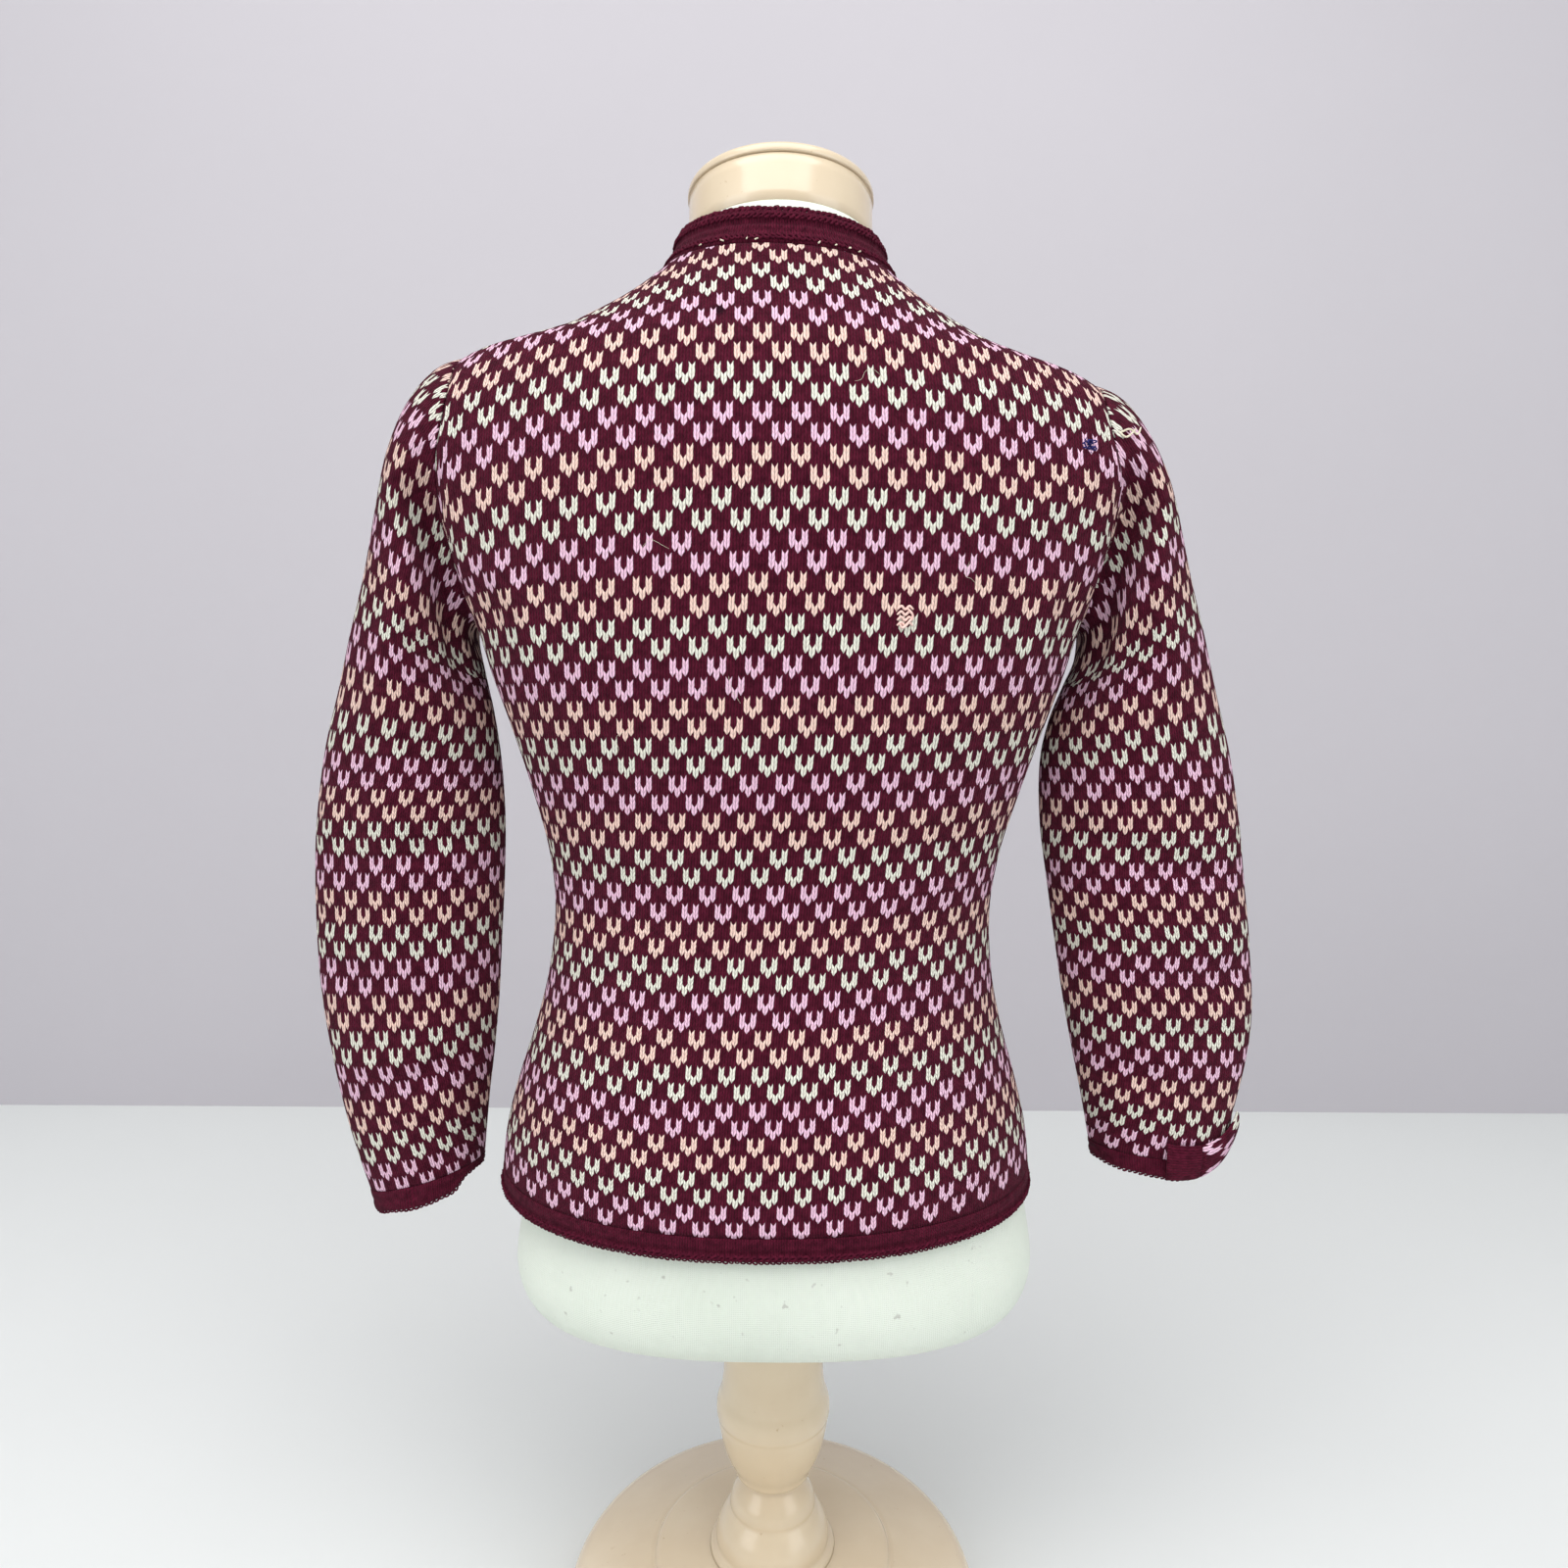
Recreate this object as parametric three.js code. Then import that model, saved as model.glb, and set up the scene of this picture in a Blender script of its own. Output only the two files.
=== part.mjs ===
// A knitted round-neck cardigan worn by a limbless dress form on a turned stand.
// Millimetres, +Z up. The base of the stand is centred on the origin at z = 0, the wearer faces -Y,
// and the wearer's left is +X.
//
// The cardigan's body is one surface of rings, one for each height, and every panel and band is a
// stretch of it given a wall. Its rings run on past the shoulders as if they held the arms' roots,
// and the armhole is where an upright surface cuts them, so body and sleeve share its outline.
import * as THREE from "three";
import { mergeVertices } from "three/addons/utils/BufferGeometryUtils.js";

// Driving sizes
const KNIT = 2.6; // wall of the patterned knit
const BAND_WALL = 2.8; // wall of the plain edge bands
const SEAM = 0.3; // gap that sewn pieces keep
const HEM_Z = 330;
const HEM_BAND = 13; // height of the plain hem
const ARMHOLE_X = 187; // the armhole seam at shoulder and underarm
const ARMHOLE_BULGE = { out: 11, z: 757, high: 36 }; // it swings out over the upper arm
const UNDERARM_Z = 685;
const SHOULDER_Z = 838; // shoulder tip
const NECK_SIDE_Z = 893; // where the shoulder seam meets the neck
const NECK_BACK_Z = 892;
const NECK_FRONT_Z = 828;
const NECK_BAND = 20;
const NECK_FRONT_SQUARE = 2.8; // rounds the front neckline; the back's is an ellipse
const FRONT_BAND_HALF = 13; // half the width of the buttonhole band
const FRONT_BAND_PROUD = 0.6;
const UNDERLAP = 7; // how far the button band runs under the left front
const BUTTONS = 7;
const BUTTON_R = 7.5;
const BUTTON_THICK = 3.4;
const CUFF = 12;
const FORM_INSET = 4.2; // the form lies this far inside the cloth's outer face at back and shoulders
const FORM_FRONT_INSET = 9;
const ARM_PLATE_X = 172; // flat ends of the form's shoulders
const CROOK = { slope: 0.034, low: 700, high: 810 }; // the left shoulder sits higher than the right
const SWAY = { left: 5.5, low: 345, high: 640 }; // the hem hangs off centre, to the wearer's left
const NECK_TILT = THREE.MathUtils.degToRad(8); // the neck's top is higher at the back
const NECK_BLOCK_R = 56;
const NECK_BLOCK_LONG = 27.5;
const NECK_BASE = new THREE.Vector3(0, -3, 913);

// Outer face of the cardigan's body. half is half the width, back and front are depths from the
// axis, and square is the power that rounds each ring (2 is an ellipse).
const BODY = [
  { z: 330, half: 170.5, back: 121, front: 112, square: 2.2 },
  { z: 345, half: 170.5, back: 120, front: 112, square: 2.2 },
  { z: 370, half: 167.5, back: 116, front: 111, square: 2.2 },
  { z: 400, half: 160, back: 109, front: 109, square: 2.15 },
  { z: 430, half: 151, back: 101, front: 106, square: 2.1 },
  { z: 465, half: 143, back: 92, front: 102, square: 2.1 },
  { z: 508, half: 139.5, back: 86, front: 99, square: 2.1 },
  { z: 545, half: 144, back: 87, front: 102, square: 2.1 },
  { z: 580, half: 153.5, back: 91.5, front: 108, square: 2.15 },
  { z: 620, half: 166, back: 97, front: 116, square: 2.25 },
  { z: 655, half: 178, back: 101, front: 122, square: 2.3 },
  { z: 685, half: 186.8, back: 103.5, front: 124, square: 2.3 },
  { z: 715, half: 201, back: 105, front: 122, square: 2.25 },
  { z: 745, half: 213, back: 105.5, front: 117, square: 2.2 },
  { z: 775, half: 220, back: 105, front: 110, square: 2.15 },
  { z: 800, half: 218, back: 102, front: 103, square: 2.1 },
  { z: 818, half: 209, back: 98.5, front: 98.5, square: 2.05 },
  { z: 830, half: 198, back: 95.5, front: 95, square: 2 },
  { z: 838, half: 186.8, back: 93, front: 92, square: 2 },
  { z: 845, half: 163, back: 90, front: 89, square: 2 },
  { z: 852, half: 140, back: 87, front: 86.5, square: 2 },
  { z: 862, half: 118.5, back: 82.5, front: 83, square: 2 },
  { z: 873, half: 98.5, back: 77, front: 78.5, square: 2 },
  { z: 883, half: 84, back: 72, front: 74.5, square: 2 },
  { z: 893, half: 71.5, back: 68, front: 70.5, square: 2 },
  { z: 903, half: 65, back: 64.5, front: 67, square: 2 },
  { z: 914, half: 62, back: 62, front: 63.5, square: 2 },
  { z: 926, half: 61, back: 61, front: 61.5, square: 2 },
  { z: 940, half: 60.5, back: 60.5, front: 60.5, square: 2 },
];

// The form below the chest, where the cloth stands off its waist.
const FORM = [
  { z: 257, half: 142, back: 93, front: 86, square: 2.6 },
  { z: 258.5, half: 150, back: 101, front: 92, square: 2.6 },
  { z: 261.5, half: 156.5, back: 107, front: 97, square: 2.6 },
  { z: 266, half: 161, back: 112, front: 101, square: 2.55 },
  { z: 273, half: 165, back: 115.5, front: 104, square: 2.5 },
  { z: 284, half: 167.5, back: 118, front: 106, square: 2.4 },
  { z: 300, half: 166, back: 118, front: 106.5, square: 2.3 },
  { z: 318, half: 163, back: 116, front: 106, square: 2.2 },
  { z: 335, half: 161, back: 114.5, front: 105, square: 2.2 },
  { z: 352, half: 159, back: 112.5, front: 104, square: 2.2 },
  { z: 380, half: 154, back: 107, front: 100.5, square: 2.2 },
  { z: 420, half: 144, back: 96, front: 95, square: 2.1 },
  { z: 465, half: 132, back: 84, front: 90, square: 2.1 },
  { z: 508, half: 126, back: 77, front: 87, square: 2.1 },
  { z: 555, half: 134, back: 81, front: 92, square: 2.1 },
  { z: 600, half: 149, back: 89, front: 101, square: 2.15 },
  { z: 640, half: 164, back: 95, front: 109, square: 2.25 },
];

// Sleeve sections from armhole to cuff. Each is an oval that runs from an inner to an outer point
// of the front view, with its depths behind and before the arm's line.
// own is how far the section still follows the armhole's outline. Both sleeves share their head.
const SLEEVE_HEAD = [
  { inX: 187.15, inZ: 685, outX: 187.15, outZ: 838, back: 60, front: 60, own: 1 },
  { inX: 189, inZ: 684.4, outX: 198.5, outZ: 834, back: 60, front: 60, own: 0.93 },
  { inX: 191, inZ: 683, outX: 210.5, outZ: 825.5, back: 59, front: 59, own: 0.8 },
  { inX: 192.5, inZ: 680.5, outX: 221, outZ: 811, back: 57.5, front: 57, own: 0.62 },
  { inX: 193, inZ: 677.5, outX: 229, outZ: 792, back: 56, front: 55, own: 0.42 },
  { inX: 192.5, inZ: 673.5, outX: 237, outZ: 768, back: 54.5, front: 53, own: 0.22 },
  { inX: 191, inZ: 668, outX: 245.5, outZ: 740, back: 53, front: 51, own: 0.08 },
  { inX: 188.5, inZ: 660, outX: 253.5, outZ: 711, back: 51, front: 49, own: 0 },
];
const SLEEVE_ARM = {
  left: [
    { inX: 185.5, inZ: 648, outX: 262.5, outZ: 681, back: 49, front: 47, own: 0 },
    { inX: 181, inZ: 628, outX: 272, outZ: 646, back: 46, front: 44, own: 0 },
    { inX: 177, inZ: 600, outX: 283, outZ: 608, back: 42.5, front: 41, own: 0 },
    { inX: 175, inZ: 565, outX: 290.5, outZ: 566, back: 39, front: 38, own: 0 },
    { inX: 176, inZ: 525, outX: 294, outZ: 524, back: 36, front: 36, own: 0 },
    { inX: 178.5, inZ: 485, outX: 294.5, outZ: 481, back: 34.5, front: 34.5, own: 0 },
    { inX: 181, inZ: 447, outX: 292, outZ: 441, back: 33.5, front: 33.5, own: 0 },
    { inX: 184.5, inZ: 412, outX: 286.5, outZ: 402, back: 32, front: 32, own: 0 },
    { inX: 189, inZ: 378, outX: 279, outZ: 364, back: 30.5, front: 30.5, own: 0 },
    { inX: 192.5, inZ: 343, outX: 268, outZ: 325, back: 28.5, front: 28.5, own: 0 },
  ],
  right: [
    { inX: 182, inZ: 647, outX: 263, outZ: 681, back: 49, front: 47, own: 0 },
    { inX: 173.5, inZ: 626, outX: 273, outZ: 646, back: 46, front: 44, own: 0 },
    { inX: 168.5, inZ: 600, outX: 284.5, outZ: 607, back: 42.5, front: 41, own: 0 },
    { inX: 169.5, inZ: 562, outX: 293, outZ: 566, back: 39, front: 38, own: 0 },
    { inX: 175.5, inZ: 522, outX: 299, outZ: 526, back: 36, front: 36, own: 0 },
    { inX: 181.5, inZ: 485, outX: 304.5, outZ: 487, back: 34.5, front: 34.5, own: 0 },
    { inX: 188, inZ: 447, outX: 308, outZ: 449, back: 33.5, front: 33.5, own: 0 },
    { inX: 195, inZ: 413, outX: 308.5, outZ: 415, back: 32, front: 32, own: 0 },
    { inX: 202, inZ: 382, outX: 306, outZ: 382, back: 30.5, front: 30.5, own: 0 },
    { inX: 208, inZ: 352, outX: 300, outZ: 347, back: 28.5, front: 28.5, own: 0 },
  ],
};

// Main folds pressed into the sleeves: soft troughs that cross the sleeve behind and before it.
// round is the angle about the section (0 at the body, 90 behind, 180 outside), in degrees.
const SLEEVE_FOLDS = [
  { z: 655, round: 52, high: 16, wide: 34, deep: 5, lean: 0.9 },
  { z: 596, round: 40, high: 11, wide: 40, deep: 3, lean: 0.5 },
  { z: 548, round: 70, high: 10, wide: 46, deep: 2.6, lean: -0.3 },
  { z: 470, round: 128, high: 12, wide: 38, deep: 2.4, lean: 0.35 },
  { z: 405, round: 60, high: 9, wide: 40, deep: 2.2, lean: -0.4 },
  { z: 640, round: -58, high: 15, wide: 36, deep: 4, lean: 0.8 },
  { z: 560, round: -66, high: 11, wide: 44, deep: 3.2, lean: 0.2 },
  { z: 520, round: -80, high: 10, wide: 48, deep: 2.8, lean: -0.3 },
  { z: 430, round: -110, high: 11, wide: 40, deep: 2.2, lean: 0.4 },
];

// Powers that round a sleeve's section: its half next to the body falls away from a soft ridge, and
// its outer half is boxy.
const SLEEVE_SQUARE = { inner: 1.85, outer: 2.7 };

// Counts
const BACK_COLUMNS = 20;
const FRONT_COLUMNS = 9;
const FRONT_BAND_COLUMNS = 3; // odd, so that a flat facet runs down its middle
const SLEEVE_SIDES = 20; // even, so half of it matches the armhole's rows
const FORM_SIDES = 28;
const TURNED_SIDES = 28;
const BASE_SIDES = 36;
const BUTTON_SIDES = 12;

// Colours and finishes
const MAROON = { color: 0x4a1629, roughness: 0.95, metalness: 0 };
const MAROON_BAND = { color: 0x4b172b, roughness: 0.95, metalness: 0 };
const LINEN = { color: 0xdfe2d6, roughness: 0.9, metalness: 0 };
const CREAM = { color: 0xdcc9a8, roughness: 0.35, metalness: 0 };
const PLUM_BUTTON = { color: 0x3a1020, roughness: 0.3, metalness: 0 };

// A smooth curve through one column of a table, by the tangent of each row's two neighbours.
function curve(rows, name) {
  const slope = rows.map((row, i) => {
    const before = rows[Math.max(0, i - 1)];
    const after = rows[Math.min(rows.length - 1, i + 1)];
    return (after[name] - before[name]) / (after.z - before.z);
  });
  return (z) => {
    let i = 0;
    while (i < rows.length - 2 && z > rows[i + 1].z) i += 1;
    const step = rows[i + 1].z - rows[i].z;
    const t = THREE.MathUtils.clamp((z - rows[i].z) / step, 0, 1);
    const t2 = t * t;
    const t3 = t2 * t;
    return (
      (2 * t3 - 3 * t2 + 1) * rows[i][name] +
      (t3 - 2 * t2 + t) * step * slope[i] +
      (3 * t2 - 2 * t3) * rows[i + 1][name] +
      (t3 - t2) * step * slope[i + 1]
    );
  };
}

function rings(rows) {
  const names = ["half", "back", "front", "square"];
  return Object.fromEntries(names.map((name) => [name, curve(rows, name)]));
}

const body = rings(BODY);
const form = rings(FORM);

// How far along z lies on the way from low to high, eased at both ends.
function ease(z, { low, high }) {
  return smooth(THREE.MathUtils.clamp((z - low) / (high - low), 0, 1));
}

// The whole garment and the form's shoulders sit a little crooked.
function crooked(point) {
  point.z += CROOK.slope * point.x * ease(point.z, CROOK);
  return point;
}

// A point of a ring. turn is 0 at the centre back, 90 degrees at the wearer's left side.
function ringPoint(ring, turn, z) {
  const power = 2 / ring.square(z);
  const across = Math.sign(Math.sin(turn)) * Math.abs(Math.sin(turn)) ** power;
  const along = Math.sign(Math.cos(turn)) * Math.abs(Math.cos(turn)) ** power;
  const depth = along >= 0 ? ring.back(z) : ring.front(z);
  const sway = ring === body ? SWAY.left * (1 - ease(z, SWAY)) : 0;
  return new THREE.Vector3(ring.half(z) * across + sway, depth * along, z);
}

// The same point moved inwards, square to the surface, and settled with the garment.
function insetPoint(ring, turn, z, inset) {
  const dTurn = 0.02;
  const dZ = 0.5;
  const round = ringPoint(ring, turn + dTurn, z).sub(ringPoint(ring, turn - dTurn, z));
  const up = ringPoint(ring, turn, z + dZ).sub(ringPoint(ring, turn, z - dZ));
  const outward = up.cross(round).normalize();
  return crooked(ringPoint(ring, turn, z).addScaledVector(outward, -inset));
}

function armholeX(z) {
  const up = (z - ARMHOLE_BULGE.z) / ARMHOLE_BULGE.high;
  return ARMHOLE_X + ARMHOLE_BULGE.out * Math.exp(-up * up);
}

// Turn, from the centre back or front, at which a ring is x from the middle.
function turnAtX(x, z) {
  return Math.asin(Math.min(1, (x / body.half(z)) ** (body.square(z) / 2)));
}

// Turn at which a ring comes within y of the plane between front and back.
function turnAtY(y, depth, square) {
  return Math.acos((y / depth) ** (square / 2));
}

// Outer limit of a panel at a height: the armhole where there is one, else the side or shoulder seam.
function edgeTurn(z, depth) {
  const seam = turnAtY(SEAM / 2, depth, body.square(z));
  return Math.min(seam, turnAtX(armholeX(z) - SEAM / 2, z));
}

function smooth(t) {
  return t * t * (3 - 2 * t);
}

// Heights of the rows of a panel at its outer edge. Those along the armhole are also the heights
// of the sleeve's first section, so that both have the same outline.
function panelHeights() {
  const low = HEM_Z + HEM_BAND + SEAM;
  const lowRows = 10;
  const heights = [];
  for (let i = 0; i < lowRows; i += 1) heights.push(low + ((UNDERARM_Z - low) * i) / lowRows);
  const holeRows = SLEEVE_SIDES / 2;
  for (let i = 0; i <= holeRows; i += 1) heights.push(holeHeight((i * Math.PI) / holeRows));
  const shoulderRows = 4;
  for (let i = 1; i <= shoulderRows; i += 1)
    heights.push(SHOULDER_Z + ((NECK_SIDE_Z - SHOULDER_Z) * i) / shoulderRows);
  return heights;
}

function holeHeight(round) {
  return (UNDERARM_Z + SHOULDER_Z) / 2 - ((SHOULDER_Z - UNDERARM_Z) / 2) * Math.cos(round);
}

// Where the neckline lies: the body's surface cut by an upright oval tube round the neck. share is 0
// in the middle and 1 at the shoulder seam, side is 0 behind and +1 or -1 in front, and lift raises
// it. The fronts start beside the front band.
function neckline(share, side, lift) {
  const half = body.half(NECK_SIDE_Z + lift);
  const depth = side === 0 ? body.back(NECK_BACK_Z + lift) : body.front(NECK_FRONT_Z + lift);
  const bandShare = (FRONT_BAND_HALF + SEAM) / half;
  const start = side === 0 ? 0 : Math.asin(bandShare ** (NECK_FRONT_SQUARE / 2));
  const round = start + Math.abs(share) * (Math.PI / 2 - start);
  const power = 2 / (side === 0 ? 2 : NECK_FRONT_SQUARE);
  const x = half * Math.sin(round) ** power;
  const y = depth * Math.cos(round) ** power;
  let low = NECK_FRONT_Z - 20;
  let high = NECK_SIDE_Z + lift;
  for (let i = 0; i < 30; i += 1) {
    const z = (low + high) / 2;
    const ringDepth = side === 0 ? body.back(z) : body.front(z);
    const square = body.square(z);
    const inside = (x / body.half(z)) ** square + (y / ringDepth) ** square < 1;
    if (inside) low = z;
    else high = z;
  }
  return { z: low, turn: turnAtX(x, low) };
}

// The turn and height of a panel's point, counted from the middle of the back or of the front.
// Rows above the bend are drawn to end on the neckline, and no point passes the armhole.
function panelPlace(share, height, side) {
  const bendZ = 720;
  const depth = side === 0 ? body.back(height) : body.front(height);
  const top = neckline(share, side, 0);
  const climb = Math.max(0, (height - bendZ) / (NECK_SIDE_Z - bendZ));
  const z = Math.min(height, bendZ) + climb * (top.z - bendZ);
  const startAt = (at) => (side === 0 ? 0 : turnAtX(FRONT_BAND_HALF + SEAM, at));
  const spreadTurn = (edge, start) => start + Math.abs(share) * (edge - start);
  const shift = top.turn - spreadTurn(Math.PI / 2, startAt(top.z));
  const turn = spreadTurn(edgeTurn(height, depth), startAt(z)) + shift * climb * climb;
  return { z, turn: Math.min(turn, turnAtX(armholeX(z) - SEAM / 2, z)) };
}

// The turn about the axis of a place counted from the middle of the back or of a front.
function fullTurn(turn, share, side) {
  return side === 0 ? Math.sign(share) * turn : side * (Math.PI - turn);
}

// A closed wall between two grids of points of the same size, grid[row][column].
// closed joins the last column to the first, as on a tube.
function wall(outer, inner, closed = false) {
  const rows = outer.length;
  const columns = outer[0].length;
  const points = [...outer.flat(), ...inner.flat()];
  const at = (side, row, column) => side * rows * columns + row * columns + (column % columns);
  const faces = [];
  const quad = (a, b, c, d) => faces.push(a, b, c, a, c, d);
  const spans = closed ? columns : columns - 1;
  for (let row = 0; row < rows - 1; row += 1)
    for (let column = 0; column < spans; column += 1) {
      const next = column + 1;
      quad(at(0, row, column), at(0, row, next), at(0, row + 1, next), at(0, row + 1, column));
      quad(at(1, row, next), at(1, row, column), at(1, row + 1, column), at(1, row + 1, next));
    }
  for (let column = 0; column < spans; column += 1) {
    const next = column + 1;
    const top = rows - 1;
    quad(at(1, 0, column), at(1, 0, next), at(0, 0, next), at(0, 0, column));
    quad(at(0, top, column), at(0, top, next), at(1, top, next), at(1, top, column));
  }
  if (!closed)
    for (let row = 0; row < rows - 1; row += 1) {
      const last = columns - 1;
      quad(at(1, row, 0), at(0, row, 0), at(0, row + 1, 0), at(1, row + 1, 0));
      quad(at(0, row, last), at(1, row, last), at(1, row + 1, last), at(0, row + 1, last));
    }
  return facing(points, faces);
}

// A geometry from points and faces, turned to face outwards if it came out inside out.
function facing(points, faces) {
  let volume = 0;
  for (let i = 0; i < faces.length; i += 3) {
    const [a, b, c] = [points[faces[i]], points[faces[i + 1]], points[faces[i + 2]]];
    volume += a.dot(b.clone().cross(c));
  }
  if (volume < 0)
    for (let i = 0; i < faces.length; i += 3)
      [faces[i + 1], faces[i + 2]] = [faces[i + 2], faces[i + 1]];
  const geometry = new THREE.BufferGeometry();
  geometry.setAttribute("position", new THREE.Float32BufferAttribute(points.flatMap((p) => [...p]), 3));
  geometry.setIndex(faces);
  geometry.computeVertexNormals();
  return geometry;
}

function piece(name, geometry, finish) {
  const mesh = new THREE.Mesh(geometry, new THREE.MeshStandardMaterial(finish));
  mesh.name = name;
  return mesh;
}

// Columns of a panel as shares of the way to its outer edge. The back's run from right to left.
const BACK_SHARES = spread(-1, 1, BACK_COLUMNS);
const FRONT_SHARES = spread(0, 1, FRONT_COLUMNS);

function spread(from, to, count) {
  return Array.from({ length: count + 1 }, (_, i) => from + ((to - from) * i) / count);
}

// A panel of the body: side is 0 for the back and +1 or -1 for the left or right front.
function panel(shares, side) {
  const heights = panelHeights();
  const grid = (inset) =>
    heights.map((height) =>
      shares.map((share) => {
        const { z, turn } = panelPlace(share, height, side);
        return insetPoint(body, fullTurn(turn, share, side), z, inset);
      }),
    );
  return wall(grid(0), grid(KNIT));
}

// The outline of a plain band's wall: how high up the band, and how far out it stands.
const NECK_PROFILE = [
  { up: 0, out: -0.4 },
  { up: 0.14, out: 0.5 },
  { up: 0.4, out: 0.5 },
  { up: 0.6, out: -0.2 },
  { up: 0.76, out: 1 },
  { up: 1, out: 0.2 },
];
const HEM_PROFILE = [
  { up: 0, out: 0.3 },
  { up: 0.22, out: 1.1 },
  { up: 0.42, out: -0.1 },
  { up: 0.6, out: 0.3 },
  { up: 1, out: 0 },
];

// A band that runs round the body from one front band, across the back, to the other, with no side
// seams. placeAt gives the turn and height of a point from its share, side and lift in the band.
function bandRound(profile, placeAt) {
  const behind = BACK_SHARES.slice().reverse().slice(1, -1);
  const stations = [
    ...FRONT_SHARES.map((share) => ({ share, side: 1 })),
    ...behind.map((share) => ({ share, side: 0 })),
    ...FRONT_SHARES.slice().reverse().map((share) => ({ share, side: -1 })),
  ];
  const rows = (thick, plain) =>
    profile.map(({ up, out }) =>
      stations.map(({ share, side }) => {
        const { turn, z } = placeAt(share, side, up);
        return insetPoint(body, fullTurn(turn, share, side), z, thick - (plain ? 0 : out));
      }),
    );
  return wall(rows(0, false), rows(BAND_WALL, true));
}

function hemPlace(share, side, up) {
  const z = HEM_Z + up * HEM_BAND;
  const start = side === 0 ? 0 : turnAtX(FRONT_BAND_HALF + SEAM, z);
  return { z, turn: start + Math.abs(share) * (Math.PI / 2 - start) };
}

// Where the neckline slants, the neck band climbs further to keep its width.
function neckPlace(share, side, up) {
  const pointAt = (lift) => {
    const { turn, z } = neckline(share, side, lift);
    return ringPoint(body, fullTurn(turn, share, side), z);
  };
  const width = pointAt(SEAM).distanceTo(pointAt(SEAM + NECK_BAND));
  return neckline(share, side, SEAM + (up * NECK_BAND * NECK_BAND) / width);
}

// The button band's outer face lies under the wall of the left front and of the neck and hem bands.
const UNDER = -BAND_WALL - SEAM;

// Front bands: strips down the centre front, from the hem's foot to the neck band's top.
function frontBand(fromX, toX, outer, inner) {
  const across = spread(fromX, toX, FRONT_BAND_COLUMNS);
  const grid = (offset) =>
    frontBandHeights().map((z) =>
      across.map((x) => {
        const turn = Math.PI - Math.sign(x) * turnAtX(Math.abs(x), z);
        return insetPoint(body, turn, z, -offset);
      }),
    );
  return wall(grid(outer), grid(inner));
}

function frontBandHeights() {
  return [
    HEM_Z,
    ...panelHeights().map((height) => panelPlace(0, height, 1).z),
    NECK_FRONT_Z + SEAM + NECK_BAND,
  ];
}

// The middle of the buttonhole band's outer face at a height, on the flat facet down its middle.
function frontBandFace(z) {
  const heights = frontBandHeights();
  let i = 0;
  while (i < heights.length - 2 && z > heights[i + 1]) i += 1;
  const facetHalf = FRONT_BAND_HALF / FRONT_BAND_COLUMNS;
  const [low, high] = [heights[i], heights[i + 1]].map((at) => {
    const turn = turnAtX(facetHalf, at);
    const [left, right] = [-turn, turn].map((away) =>
      insetPoint(body, Math.PI + away, at, -FRONT_BAND_PROUD),
    );
    return left.lerp(right, 0.5);
  });
  return low.lerp(high, (z - low.z) / (high.z - low.z));
}

// Buttons, spread evenly down the band and square to it. Where the band swells under a button, the
// button stands off by that much.
function button(index) {
  const fromEnds = 15;
  const lowest = HEM_Z + fromEnds;
  const highest = NECK_FRONT_Z + NECK_BAND - fromEnds;
  const z = lowest + ((highest - lowest) * index) / (BUTTONS - 1);
  const rim = BUTTON_THICK;
  const profile = [
    [0, 0],
    [BUTTON_R - 1.2, 0],
    [BUTTON_R, rim * 0.45],
    [BUTTON_R - 0.7, rim],
    [BUTTON_R - 2.4, rim * 0.72],
    [0, rim * 0.62],
  ].map(([r, h]) => new THREE.Vector2(r, h));
  const geometry = new THREE.LatheGeometry(profile, BUTTON_SIDES);
  const mesh = piece(`button_${index + 1}`, solid(geometry), PLUM_BUTTON);
  const foot = frontBandFace(z - BUTTON_R);
  const head = frontBandFace(z + BUTTON_R);
  const along = head.clone().sub(foot).normalize();
  const outward = new THREE.Vector3(1, 0, 0).cross(along).normalize();
  const swell = frontBandHeights()
    .filter((at) => at > foot.z && at < head.z)
    .map((at) => frontBandFace(at).sub(foot).dot(outward));
  mesh.quaternion.setFromUnitVectors(new THREE.Vector3(0, 1, 0), outward);
  mesh.position.copy(foot.lerp(head, 0.5)).addScaledVector(outward, Math.max(0, ...swell) + SEAM);
  return mesh;
}

// A turned solid with its axis along +Z.
function turned(profile, sides) {
  const geometry = new THREE.LatheGeometry(
    profile.map(([r, z]) => new THREE.Vector2(r, z)),
    sides,
  );
  geometry.rotateX(Math.PI / 2);
  return solid(geometry);
}

// A lathe's seam and poles merged, and its faces turned outwards.
function solid(geometry) {
  geometry.deleteAttribute("normal");
  geometry.deleteAttribute("uv");
  const merged = mergeVertices(geometry, 1e-4);
  const position = merged.getAttribute("position");
  const points = [];
  for (let i = 0; i < position.count; i += 1)
    points.push(new THREE.Vector3().fromBufferAttribute(position, i));
  const index = [...merged.index.array];
  const faces = [];
  for (let i = 0; i < index.length; i += 3) {
    const [a, b, c] = index.slice(i, i + 3);
    if (a !== b && b !== c && a !== c) faces.push(a, b, c);
  }
  return facing(points, faces);
}

// Half the armhole's depth at a height, behind (side +1) or before (side -1) the arm.
function holeDepth(z, side) {
  const depth = side > 0 ? body.back(z) : body.front(z);
  const square = body.square(z);
  const reach = Math.min(1, armholeX(z) / body.half(z)) ** square;
  return depth * (1 - reach) ** (1 / square);
}

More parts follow.
